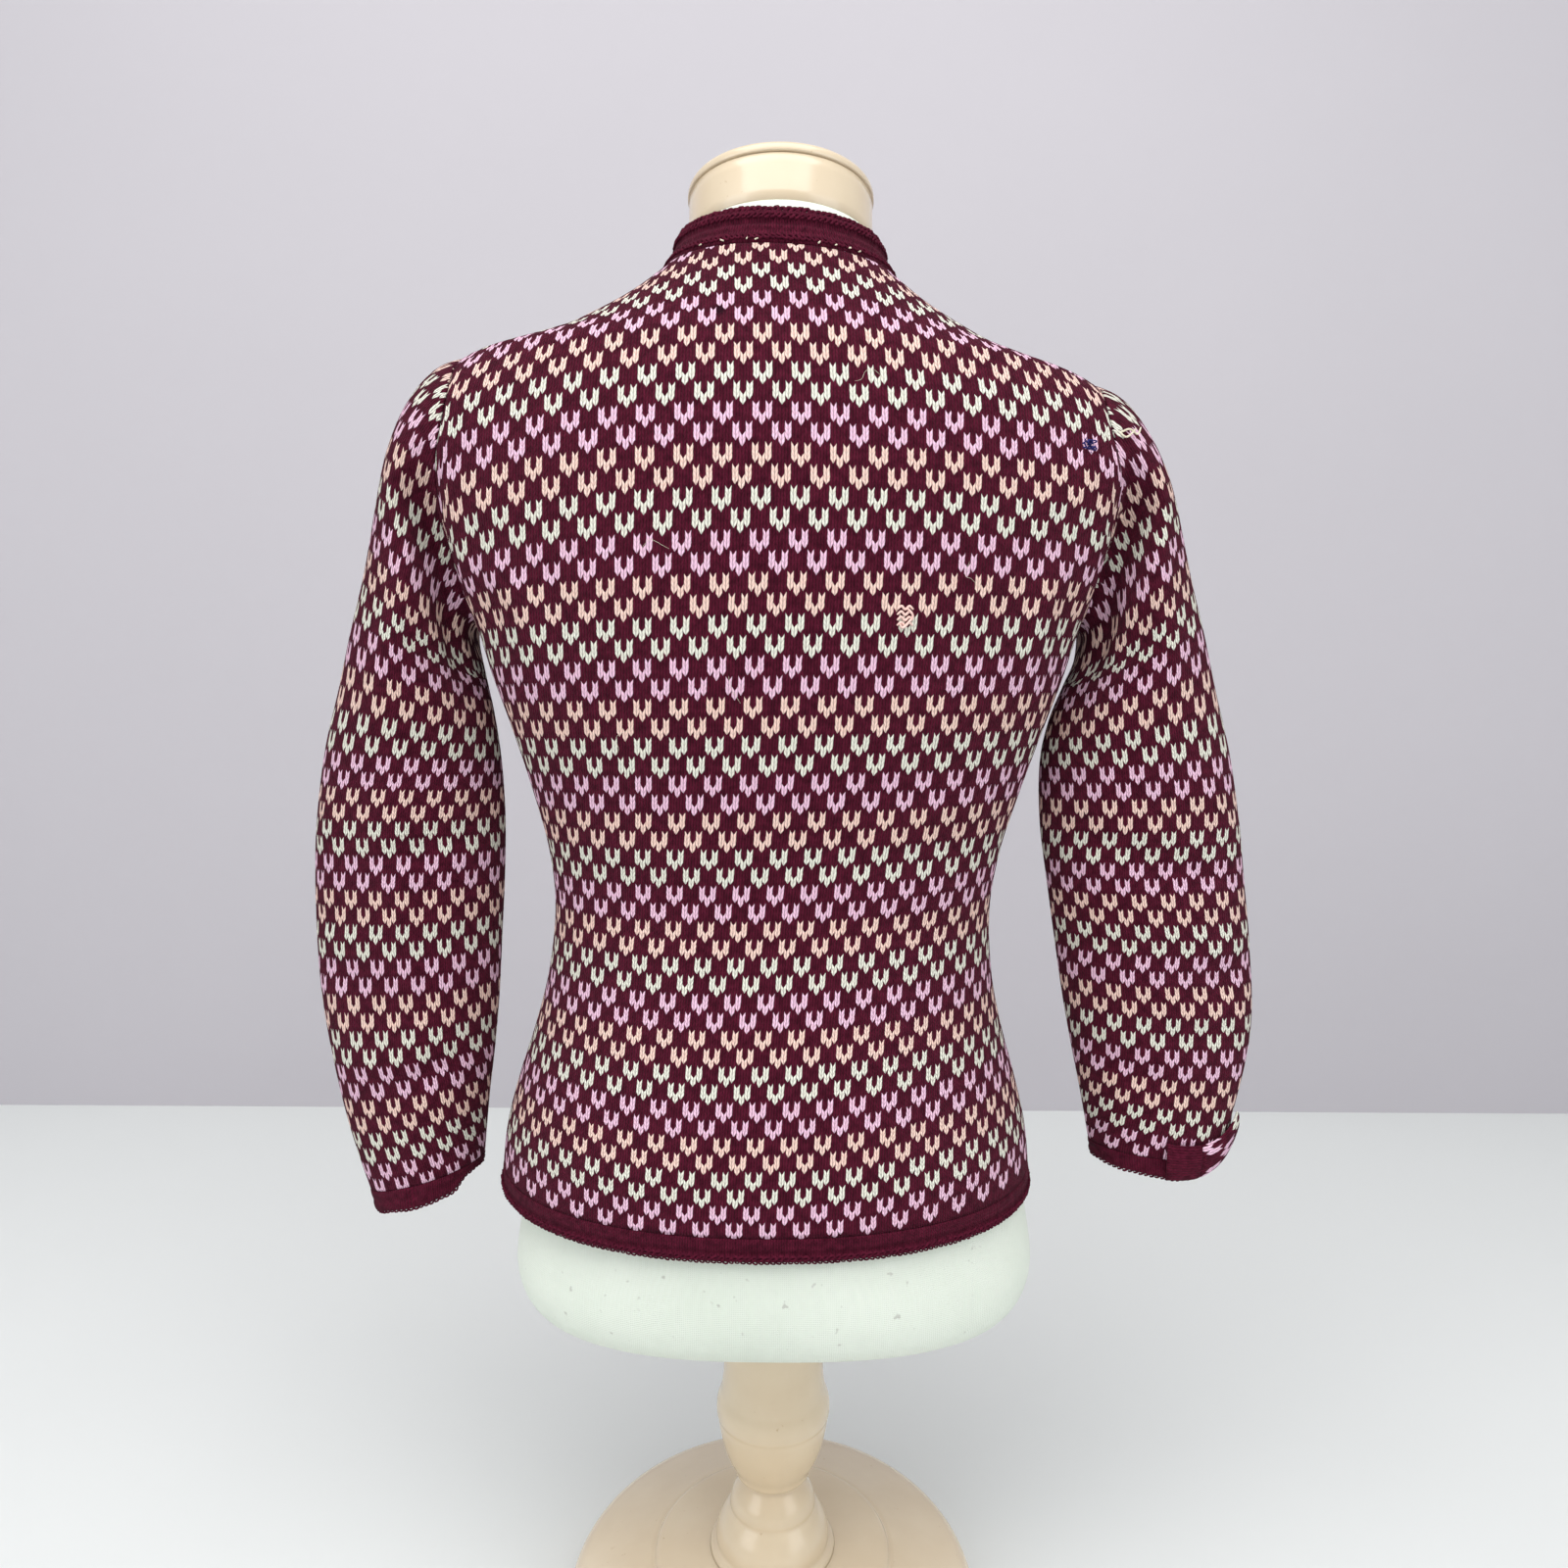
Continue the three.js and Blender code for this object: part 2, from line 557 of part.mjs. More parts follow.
// How far the folds press the sleeve in at an angle about a section and a height.
function foldDepth(round, z) {
  const degrees = THREE.MathUtils.radToDeg(round);
  const angle = degrees > 180 ? degrees - 360 : degrees;
  let deep = 0;
  for (const fold of SLEEVE_FOLDS) {
    const across = (angle - fold.round) / fold.wide;
    const along = (z - fold.z - fold.lean * (angle - fold.round)) / fold.high;
    deep += fold.deep * Math.exp(-(across * across + along * along));
  }
  return deep;
}

// A sleeve section's points, moved inwards in the section's own plane.
function sectionPoints(section, inset) {
  const inner = new THREE.Vector3(section.inX, 0, section.inZ);
  const outer = new THREE.Vector3(section.outX, 0, section.outZ);
  const centre = inner.clone().lerp(outer, 0.5);
  const reach = outer.clone().sub(centre);
  const flat = [];
  for (let i = 0; i < SLEEVE_SIDES; i += 1) {
    const round = (i * 2 * Math.PI) / SLEEVE_SIDES;
    const side = round <= Math.PI ? 1 : -1;
    const oval = side > 0 ? section.back : section.front;
    const hole = holeDepth(holeHeight(side > 0 ? round : 2 * Math.PI - round), side);
    const half = Math.cos(round) > 0 ? "inner" : "outer";
    const power = THREE.MathUtils.lerp(2 / SLEEVE_SQUARE[half], 1, section.own);
    const way = -Math.sign(Math.cos(round)) * Math.abs(Math.cos(round)) ** power;
    const z = centre.z + reach.z * way;
    const press = 1 - foldDepth(round, z) / oval;
    const own = oval * Math.abs(Math.sin(round)) ** power;
    const depth = THREE.MathUtils.lerp(own, hole, section.own);
    const bulge = (armholeX(z) - ARMHOLE_X) * section.own;
    flat.push({ along: way * reach.length(), y: side * depth * press, bulge });
  }
  const unit = reach.clone().normalize();
  return flat.map((p, i) => {
    const before = flat[(i + SLEEVE_SIDES - 1) % SLEEVE_SIDES];
    const after = flat[(i + 1) % SLEEVE_SIDES];
    const length = Math.hypot(after.along - before.along, after.y - before.y);
    const along = p.along - (inset * (before.y - after.y)) / length;
    const y = p.y - (inset * (after.along - before.along)) / length;
    const point = centre.clone().addScaledVector(unit, along);
    return point.set(point.x + p.bulge, y, point.z);
  });
}

// A section's points on the wearer's left (sign +1) or right (-1).
function onSide(points, sign) {
  return points.map((p) => crooked(new THREE.Vector3(sign * p.x, p.y, p.z)));
}

function sleeve(name, sign) {
  const sections = [...SLEEVE_HEAD, ...SLEEVE_ARM[name]];
  const outer = sections.map((section) => onSide(sectionPoints(section, 0), sign));
  const inner = sections.map((section) => onSide(sectionPoints(section, KNIT), sign));
  return piece(`sleeve_${name}`, wall(outer, inner, true), MAROON);
}

// A cuff carries on from the sleeve's last section, down the arm.
function cuff(name, sign) {
  const last = SLEEVE_ARM[name].at(-1);
  const before = SLEEVE_ARM[name].at(-2);
  const long = Math.hypot(last.inZ - before.inZ, last.inX - before.inX);
  const profile = [
    { down: 0, out: 0 },
    { down: 0.5, out: 0 },
    { down: 0.72, out: 0.9 },
    { down: 1, out: 0.4 },
  ];
  const section = (down) => {
    const go = (SEAM + down * CUFF) / long;
    const on = (key) => last[key] + (last[key] - before[key]) * go;
    return { ...last, inX: on("inX"), inZ: on("inZ"), outX: on("outX"), outZ: on("outZ") };
  };
  const outer = profile.map(({ down, out }) => onSide(sectionPoints(section(down), -out), sign));
  const inner = profile.map(({ down }) => onSide(sectionPoints(section(down), BAND_WALL), sign));
  return piece(`cuff_${name}`, wall(outer, inner, true), MAROON_BAND);
}

// The padded torso: its own rings below the chest, the cloth's surface moved in above it.
function torso() {
  const low = FORM.map((row) => row.z);
  const high = [665, 690, 720, 750, 780, 805, 822, 834, 842, 851, 862, 873, 883, 893, 903];
  const turns = spread(0, 2 * Math.PI, FORM_SIDES).slice(0, -1);
  const highPoint = (turn, z) => {
    const ahead = Math.max(0, -Math.cos(turn));
    const inset = FORM_INSET + (FORM_FRONT_INSET - FORM_INSET) * smooth(ahead);
    const point = insetPoint(body, turn, z, inset);
    point.x = THREE.MathUtils.clamp(point.x, -ARM_PLATE_X, ARM_PLATE_X);
    return point;
  };
  const tilt = new THREE.Vector3(1, 0, 0);
  const neckRing = turns.map((turn) => {
    const point = new THREE.Vector3(Math.sin(turn), Math.cos(turn), 0).multiplyScalar(NECK_BLOCK_R);
    return point.applyAxisAngle(tilt, NECK_TILT).add(NECK_BASE);
  });
  const grid = [
    ...low.map((z) => turns.map((turn) => ringPoint(form, turn, z))),
    ...high.map((z) => turns.map((turn) => highPoint(turn, z))),
    neckRing,
  ];
  return piece("form_torso", capped(grid), LINEN);
}

// A solid through closed rings, with a flat end at each.
function capped(grid) {
  const sides = grid[0].length;
  const points = grid.flat();
  const faces = [];
  for (let row = 0; row < grid.length - 1; row += 1)
    for (let i = 0; i < sides; i += 1) {
      const a = row * sides + i;
      const b = row * sides + ((i + 1) % sides);
      faces.push(a, b, b + sides, a, b + sides, a + sides);
    }
  for (const [ring, flip] of [[0, true], [grid.length - 1, false]]) {
    const middle = grid[ring].reduce((sum, p) => sum.add(p), new THREE.Vector3()).divideScalar(sides);
    points.push(middle);
    for (let i = 0; i < sides; i += 1) {
      const a = ring * sides + i;
      const b = ring * sides + ((i + 1) % sides);
      faces.push(...(flip ? [b, a, points.length - 1] : [a, b, points.length - 1]));
    }
  }
  return facing(points, faces);
}

// The neck block and its cap lean with the neck.
function neck() {
  const lean = new THREE.Group();
  lean.position.copy(NECK_BASE);
  lean.rotation.x = NECK_TILT;
  const foot = SEAM;
  const top = foot + NECK_BLOCK_LONG;
  lean.add(
    piece(
      "neck_block",
      turned([[0, foot], [NECK_BLOCK_R, foot], [NECK_BLOCK_R, top], [0, top]], TURNED_SIDES),
      CREAM,
    ),
  );
  lean.add(piece("neck_cap", turned(capProfile(top + SEAM), TURNED_SIDES), CREAM));
  return lean;
}

// The cap's foot is bevelled, its upper edge is a quarter round, and its top is barely domed.
function capProfile(foot) {
  const thick = 6.5;
  const radius = NECK_BLOCK_R + 0.8;
  const round = 4.2;
  const bevel = 0.7;
  const dome = 0.6;
  const steps = 3;
  const profile = [[0, foot], [radius - bevel, foot], [radius, foot + bevel]];
  for (let i = 0; i <= steps; i += 1) {
    const turn = (i * Math.PI) / 2 / steps;
    const r = radius - round + round * Math.cos(turn);
    profile.push([r, foot + thick - round + round * Math.sin(turn)]);
  }
  profile.push([0, foot + thick + dome]);
  return profile;
}

// The disc of the stand and the turned column on it, as [radius, height].
const BASE_TOP = 58.5;
const BASE_PROFILE = [
  [0, 0], [134, 0], [138, 3], [140, 9], [140, 25], [138, 33], [134.5, 38], [129, 41.6], [104, 48.6],
  [84, 54], [81, 53.6], [79.5, 56.6], [77, 58], [46, BASE_TOP], [0, BASE_TOP],
];
const COLUMN_PROFILE = [
  [0, BASE_TOP + SEAM], [43, BASE_TOP + SEAM], [42, 61.5], [38.4, 62.5], [38.7, 68], [36.8, 76],
  [32.2, 84], [29, 87.6], [29.2, 91], [27.4, 97.6], [23, 104], [20.5, 108], [20.5, 111], [24.6, 112.4],
  [25.6, 114.4], [26.4, 117.5], [30.4, 125], [34.6, 137], [37, 150], [37.4, 154.6], [38.4, 157],
  [38.5, 163], [37.4, 168], [35.2, 173.5], [33.6, 186], [33.4, 205], [33.4, FORM[0].z - SEAM],
  [0, FORM[0].z - SEAM],
];

const cardigan = new THREE.Group();
cardigan.name = "cardigan";
cardigan.add(
  piece("back", panel(BACK_SHARES, 0), MAROON),
  piece("front_left", panel(FRONT_SHARES, 1), MAROON),
  piece("front_right", panel(FRONT_SHARES, -1), MAROON),
  sleeve("left", 1),
  sleeve("right", -1),
  cuff("left", 1),
  cuff("right", -1),
  piece("neck_band", bandRound(NECK_PROFILE, neckPlace), MAROON_BAND),
  piece("hem_band", bandRound(HEM_PROFILE, hemPlace), MAROON_BAND),
  piece(
    "buttonhole_band",
    frontBand(-FRONT_BAND_HALF, FRONT_BAND_HALF, FRONT_BAND_PROUD, FRONT_BAND_PROUD - BAND_WALL),
    MAROON_BAND,
  ),
  piece(
    "button_band",
    frontBand(-FRONT_BAND_HALF + 1, FRONT_BAND_HALF + UNDERLAP, UNDER, UNDER - BAND_WALL),
    MAROON_BAND,
  ),
);
for (let i = 0; i < BUTTONS; i += 1) cardigan.add(button(i));

const dressForm = new THREE.Group();
dressForm.name = "dress_form";
dressForm.add(
  torso(),
  neck(),
  piece("stand_base", turned(BASE_PROFILE, BASE_SIDES), CREAM),
  piece("stand_column", turned(COLUMN_PROFILE, TURNED_SIDES), CREAM),
);

const part = new THREE.Group();
part.add(cardigan, dressForm);

export default part;
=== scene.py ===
import math

import bmesh
import bpy
import numpy as np
from mathutils import Matrix, Vector


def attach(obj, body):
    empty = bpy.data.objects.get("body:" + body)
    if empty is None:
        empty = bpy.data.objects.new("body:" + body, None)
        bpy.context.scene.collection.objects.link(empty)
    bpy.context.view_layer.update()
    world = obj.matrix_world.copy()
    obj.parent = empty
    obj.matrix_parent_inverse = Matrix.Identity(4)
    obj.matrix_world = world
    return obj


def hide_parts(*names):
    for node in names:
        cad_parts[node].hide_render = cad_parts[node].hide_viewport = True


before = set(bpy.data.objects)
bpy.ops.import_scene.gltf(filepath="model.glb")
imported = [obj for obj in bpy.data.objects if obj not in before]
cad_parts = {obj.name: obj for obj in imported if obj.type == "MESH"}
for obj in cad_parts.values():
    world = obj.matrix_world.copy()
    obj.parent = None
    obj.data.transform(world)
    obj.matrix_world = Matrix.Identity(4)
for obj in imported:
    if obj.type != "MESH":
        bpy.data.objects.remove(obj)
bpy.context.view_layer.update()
MM = 0.001

# ---- The cardigan's body: the same surface as the solids', in millimetres ----

KNIT = 2.6
BAND_WALL = 2.8
SEAM = 0.3
HEM_Z = 330.0
HEM_BAND = 13.0
ARMHOLE_X = 187.0
ARMHOLE_OUT, ARMHOLE_BULGE_Z, ARMHOLE_BULGE_HIGH = 11.0, 757.0, 36.0
UNDERARM_Z = 685.0
SHOULDER_Z = 838.0
NECK_SIDE_Z = 893.0
NECK_BACK_Z = 892.0
NECK_FRONT_Z = 828.0
NECK_BAND = 20.0
# Above this height a panel's rows bend to end on the neckline.
BEND_Z = 720.0
NECK_FRONT_SQUARE = 2.8
FRONT_BAND_HALF = 13.0
FRONT_BAND_PROUD = 0.6
UNDERLAP = 7.0
UNDER = -BAND_WALL - SEAM
FORM_INSET = 4.2
FORM_FRONT_INSET = 9.0
ARM_PLATE_X = 172.0
CROOK_SLOPE, CROOK_LOW, CROOK_HIGH = 0.034, 700.0, 810.0
SWAY_LEFT, SWAY_LOW, SWAY_HIGH = 5.5, 345.0, 640.0
NECK_TILT = math.radians(8)
NECK_BLOCK_R = 56.0
NECK_BLOCK_LONG = 27.5
NECK_BASE = np.array([0.0, -3.0, 913.0])

# Height, half width, depth behind, depth in front, and the power that rounds the ring.
BODY = np.array([
    (330, 170.5, 121, 112, 2.2), (345, 170.5, 120, 112, 2.2), (370, 167.5, 116, 111, 2.2),
    (400, 160, 109, 109, 2.15), (430, 151, 101, 106, 2.1), (465, 143, 92, 102, 2.1),
    (508, 139.5, 86, 99, 2.1), (545, 144, 87, 102, 2.1), (580, 153.5, 91.5, 108, 2.15),
    (620, 166, 97, 116, 2.25), (655, 178, 101, 122, 2.3), (685, 186.8, 103.5, 124, 2.3),
    (715, 201, 105, 122, 2.25), (745, 213, 105.5, 117, 2.2), (775, 220, 105, 110, 2.15),
    (800, 218, 102, 103, 2.1), (818, 209, 98.5, 98.5, 2.05), (830, 198, 95.5, 95, 2),
    (838, 186.8, 93, 92, 2), (845, 163, 90, 89, 2), (852, 140, 87, 86.5, 2),
    (862, 118.5, 82.5, 83, 2), (873, 98.5, 77, 78.5, 2), (883, 84, 72, 74.5, 2),
    (893, 71.5, 68, 70.5, 2), (903, 65, 64.5, 67, 2), (914, 62, 62, 63.5, 2),
    (926, 61, 61, 61.5, 2), (940, 60.5, 60.5, 60.5, 2),
], float)
FORM = np.array([
    (257, 142, 93, 86, 2.6), (258.5, 150, 101, 92, 2.6), (261.5, 156.5, 107, 97, 2.6),
    (266, 161, 112, 101, 2.55), (273, 165, 115.5, 104, 2.5), (284, 167.5, 118, 106, 2.4),
    (300, 166, 118, 106.5, 2.3), (318, 163, 116, 106, 2.2), (335, 161, 114.5, 105, 2.2),
    (352, 159, 112.5, 104, 2.2), (380, 154, 107, 100.5, 2.2), (420, 144, 96, 95, 2.1),
    (465, 132, 84, 90, 2.1), (508, 126, 77, 87, 2.1), (555, 134, 81, 92, 2.1),
    (600, 149, 89, 101, 2.15), (640, 164, 95, 109, 2.25),
], float)

# Sleeve sections from armhole to cuff: inner x and z, outer x and z, depth behind, depth in front,
# and how far the section still follows the armhole's outline.
SLEEVE_HEAD = [
    (187.15, 685, 187.15, 838, 60, 60, 1), (189, 684.4, 198.5, 834, 60, 60, 0.93),
    (191, 683, 210.5, 825.5, 59, 59, 0.8), (192.5, 680.5, 221, 811, 57.5, 57, 0.62),
    (193, 677.5, 229, 792, 56, 55, 0.42), (192.5, 673.5, 237, 768, 54.5, 53, 0.22),
    (191, 668, 245.5, 740, 53, 51, 0.08), (188.5, 660, 253.5, 711, 51, 49, 0),
]
SLEEVE_ARM = {
    "left": [
        (185.5, 648, 262.5, 681, 49, 47, 0), (181, 628, 272, 646, 46, 44, 0),
        (177, 600, 283, 608, 42.5, 41, 0), (175, 565, 290.5, 566, 39, 38, 0),
        (176, 525, 294, 524, 36, 36, 0), (178.5, 485, 294.5, 481, 34.5, 34.5, 0),
        (181, 447, 292, 441, 33.5, 33.5, 0), (184.5, 412, 286.5, 402, 32, 32, 0),
        (189, 378, 279, 364, 30.5, 30.5, 0), (192.5, 343, 268, 325, 28.5, 28.5, 0),
    ],
    "right": [
        (182, 647, 263, 681, 49, 47, 0), (173.5, 626, 273, 646, 46, 44, 0),
        (168.5, 600, 284.5, 607, 42.5, 41, 0), (169.5, 562, 293, 566, 39, 38, 0),
        (175.5, 522, 299, 526, 36, 36, 0), (181.5, 485, 304.5, 487, 34.5, 34.5, 0),
        (188, 447, 308, 449, 33.5, 33.5, 0), (195, 413, 308.5, 415, 32, 32, 0),
        (202, 382, 306, 382, 30.5, 30.5, 0), (208, 352, 300, 347, 28.5, 28.5, 0),
    ],
}
# Troughs across the sleeves: z, angle round the section, height, width, depth and lean.
SLEEVE_FOLDS = [
    (655, 52, 16, 34, 5, 0.9), (596, 40, 11, 40, 3, 0.5), (548, 70, 10, 46, 2.6, -0.3),
    (470, 128, 12, 38, 2.4, 0.35), (405, 60, 9, 40, 2.2, -0.4), (640, -58, 15, 36, 4, 0.8),
    (560, -66, 11, 44, 3.2, 0.2), (520, -80, 10, 48, 2.8, -0.3), (430, -110, 11, 40, 2.2, 0.4),
]


def cubic(values, slope, i, t, step=1.0):
    """A smooth curve from row i of some values to the next; t is 0 to 1, step the rows' gap."""
    t2, t3 = t * t, t * t * t
    return (
        (2 * t3 - 3 * t2 + 1) * values[i]
        + (t3 - 2 * t2 + t) * step * slope[i]
        + (3 * t2 - 2 * t3) * values[i + 1]
        + (t3 - t2) * step * slope[i + 1]
    )


def column(rows, at):
    """A smooth curve through one column of a table, by height."""
    z, value = rows[:, 0], rows[:, at]
    last = len(z) - 1
    order = np.arange(len(z))
    before, after = np.maximum(order - 1, 0), np.minimum(order + 1, last)
    slope = (value[after] - value[before]) / (z[after] - z[before])

    def read(height):
        height = np.asarray(height, float)
        i = np.clip(np.searchsorted(z[1:last], height, side="left"), 0, last - 1)
        step = z[i + 1] - z[i]
        return cubic(value, slope, i, np.clip((height - z[i]) / step, 0, 1), step)

    return read


class Rings:
    def __init__(self, rows, sways=False):
        self.half, self.back, self.front, self.square = (column(rows, at) for at in (1, 2, 3, 4))
        self.sways = sways


body = Rings(BODY, sways=True)
form = Rings(FORM)


def unit(vectors):
    return vectors / np.linalg.norm(vectors, axis=-1, keepdims=True)


def lengths(path):
    """The length of a path, or of each row of a grid, up to each of its points."""
    steps = np.linalg.norm(np.diff(path, axis=-2), axis=-1)
    return np.concatenate([np.zeros((*steps.shape[:-1], 1)), np.cumsum(steps, -1)], -1)


def smooth(t):
    return t * t * (3 - 2 * t)


def ease(z, low, high):
    return smooth(np.clip((z - low) / (high - low), 0, 1))


def crooked(points):
    """The whole garment and the form's shoulders sit a little crooked."""
    out = points.copy()
    out[..., 2] += CROOK_SLOPE * points[..., 0] * ease(points[..., 2], CROOK_LOW, CROOK_HIGH)
    return out


def powered(value, power):
    return np.sign(value) * np.abs(value) ** power


def ring_point(ring, turn, z):
    """turn is 0 at the centre back and 90 degrees at the wearer's left side."""
    turn, z = np.broadcast_arrays(np.asarray(turn, float), np.asarray(z, float))
    power = 2 / ring.square(z)
    across = powered(np.sin(turn), power)
    along = powered(np.cos(turn), power)
    depth = np.where(along >= 0, ring.back(z), ring.front(z))
    sway = SWAY_LEFT * (1 - ease(z, SWAY_LOW, SWAY_HIGH)) if ring.sways else 0
    return np.stack([ring.half(z) * across + sway, depth * along, z], -1)


def outward(ring, turn, z):
    round_ = ring_point(ring, turn + 0.02, z) - ring_point(ring, turn - 0.02, z)
    up = ring_point(ring, turn, z + 0.5) - ring_point(ring, turn, z - 0.5)
    return unit(np.cross(up, round_))


def inset_point(ring, turn, z, inset):
    turn, z, inset = np.broadcast_arrays(turn, z, inset)
    return crooked(ring_point(ring, turn, z) - outward(ring, turn, z) * inset[..., None])


def armhole_x(z):
    up = (z - ARMHOLE_BULGE_Z) / ARMHOLE_BULGE_HIGH
    return ARMHOLE_X + ARMHOLE_OUT * np.exp(-up * up)


def turn_at_x(x, z):
    return np.arcsin(np.minimum(1, (x / body.half(z)) ** (body.square(z) / 2)))


def edge_turn(z, depth):
    seam = np.arccos((SEAM / 2 / depth) ** (body.square(z) / 2))
    return np.minimum(seam, turn_at_x(armhole_x(z) - SEAM / 2, z))


def neckline(share, side, lift):
    """Where the body's surface meets an upright oval tube round the neck."""
    share = np.abs(np.asarray(share, float))
    half = body.half(NECK_SIDE_Z + lift)
    if side == 0:
        depth, start, power = body.back(NECK_BACK_Z + lift), 0.0, 1.0
    else:
        depth, power = body.front(NECK_FRONT_Z + lift), 2 / NECK_FRONT_SQUARE
        start = np.arcsin(((FRONT_BAND_HALF + SEAM) / half) ** (1 / power))
    round_ = start + share * (math.pi / 2 - start)
    x = half * np.sin(round_) ** power
    y = depth * np.maximum(np.cos(round_), 0) ** power
    low = np.full(np.shape(x), NECK_FRONT_Z - 20)
    high = np.full(np.shape(x), NECK_SIDE_Z) + lift
    for _ in range(30):
        z = (low + high) / 2
        ring_depth = body.back(z) if side == 0 else body.front(z)
        square = body.square(z)
        inside = (x / body.half(z)) ** square + (y / ring_depth) ** square < 1
        low, high = np.where(inside, z, low), np.where(inside, high, z)
    return turn_at_x(x, low), low


def panel_place(share, height, side):
    """Turn and height of a panel's point. Rows above the bend end on the neckline."""
    share, height = np.broadcast_arrays(share, height)
    depth = body.back(height) if side == 0 else body.front(height)
    top_turn, top_z = neckline(share, side, 0.0)
    climb = np.maximum(0, (height - BEND_Z) / (NECK_SIDE_Z - BEND_Z))
    z = np.minimum(height, BEND_Z) + climb * (top_z - BEND_Z)

    def start_at(at):
        return np.zeros_like(at) if side == 0 else turn_at_x(FRONT_BAND_HALF + SEAM, at)

    def spread_turn(edge, start):
        return start + np.abs(share) * (edge - start)

    shift = top_turn - spread_turn(math.pi / 2, start_at(top_z))
    turn = spread_turn(edge_turn(height, depth), start_at(z)) + shift * climb * climb
    return np.minimum(turn, turn_at_x(armhole_x(z) - SEAM / 2, z)), z


def full_turn(turn, share, side):
    return np.sign(share) * turn if side == 0 else side * (math.pi - turn)


def hole_height(round_):
    return (UNDERARM_Z + SHOULDER_Z) / 2 - (SHOULDER_Z - UNDERARM_Z) / 2 * np.cos(round_)


def hole_depth(z, behind):
    depth = np.where(behind, body.back(z), body.front(z))
    square = body.square(z)
    reach = np.minimum(1, armhole_x(z) / body.half(z)) ** square
    return depth * (1 - reach) ** (1 / square)


# ---- Sleeves ----

SLEEVE_SQUARE_IN, SLEEVE_SQUARE_OUT = 1.85, 2.7


def fold_depth(round_, z):
    degrees = np.degrees(round_)
    angle = np.where(degrees > 180, degrees - 360, degrees)
    deep = 0.0
    for fold_z, at, high, wide, depth, lean in SLEEVE_FOLDS:
        across = (angle - at) / wide
        along = (z - fold_z - lean * (angle - at)) / high
        deep = deep + depth * np.exp(-(across**2 + along**2))
    return deep


def between(table, at):
    """Rows of a table at fractional places, on a smooth curve through them."""
    table = np.asarray(table, float)
    last = len(table) - 1
    order = np.arange(last + 1)
    slope = (table[np.minimum(order + 1, last)] - table[np.maximum(order - 1, 0)]) / 2
    i = np.clip(np.floor(at).astype(int), 0, last - 1)
    return cubic(table, slope, i, (at - i)[:, None])


def section_points(sections, round_):
    """Outer points of sleeve sections, [section, angle], before the side is chosen."""
    in_x, in_z, out_x, out_z, back, front, own = (sections[:, k, None] for k in range(7))
    own = np.clip(own, 0, 1)
    round_ = round_[None, :]
    behind = round_ <= math.pi + 1e-9
    centre_x, centre_z = (in_x + out_x) / 2, (in_z + out_z) / 2
    reach_x, reach_z = out_x - centre_x, out_z - centre_z
    square = np.where(np.cos(round_) > 0, SLEEVE_SQUARE_IN, SLEEVE_SQUARE_OUT)
    power = 2 / square * (1 - own) + own
    way = -powered(np.cos(round_), power)
    z = centre_z + reach_z * way
    oval = np.where(behind, back, front)
    hole = hole_depth(hole_height(np.where(behind, round_, 2 * math.pi - round_)), behind)
    depth = oval * np.abs(np.sin(round_)) ** power * (1 - own) + hole * own
    depth = depth * (1 - fold_depth(round_, z) / oval)
    bulge = (armhole_x(z) - ARMHOLE_X) * own
    return np.stack([centre_x + reach_x * way + bulge, np.where(behind, 1, -1) * depth, z], -1)


def on_side(points, sign):
    return crooked(points * np.array([sign, 1, 1]))


# ---- Where the knitting's stitches lie ----

# Height and the number of rows knitted up to it, at the centre back.
ROWS_AT = np.array([
    (343.5, 0), (348.1, 2), (402.2, 26), (458.9, 50), (520, 74), (583.5, 98), (648.3, 122),
    (715, 146), (782.4, 170), (847.5, 194), (875.3, 206), (890.9, 214),
], float)
# Height and the width of one stitch there.
STITCH_AT = np.array(
    [(330, 3.27), (400, 3.2), (500, 3.09), (600, 3.2), (680, 3.33), (800, 3.5), (900, 3.5)],
    float,
)
ROW = 2.8
# Rows knitted up to each sleeve section at its outer point, and the fall of a row across it.
SLEEVE_ROWS = {
    "left": [190, 185.6, 180.2, 173.8, 166.6, 157.4, 145.3, 134.2, 126, 117.4, 105.4, 89.2]
    + [73.5, 57.7, 43.8, 30.3, 16.9, 2.3],
    "right": [185.6, 182.2, 178.1, 173.1, 167.3, 158.7, 147.2, 136.3, 127.3, 117.7, 105.9, 90.5]
    + [73.9, 58, 42.5, 29, 15.6, 1.3],
}
SLEEVE_HEAD_FALL = [0.85, 0.8, 0.78, 0.75, 0.75, 0.75, 0.75]
SLEEVE_STITCH = 2.86
# Height of one row below and above the table, and how far the pattern is set off sideways.
ROW_LOW, ROW_HIGH, SET_OFF = 2.3, 1.95, 1.5
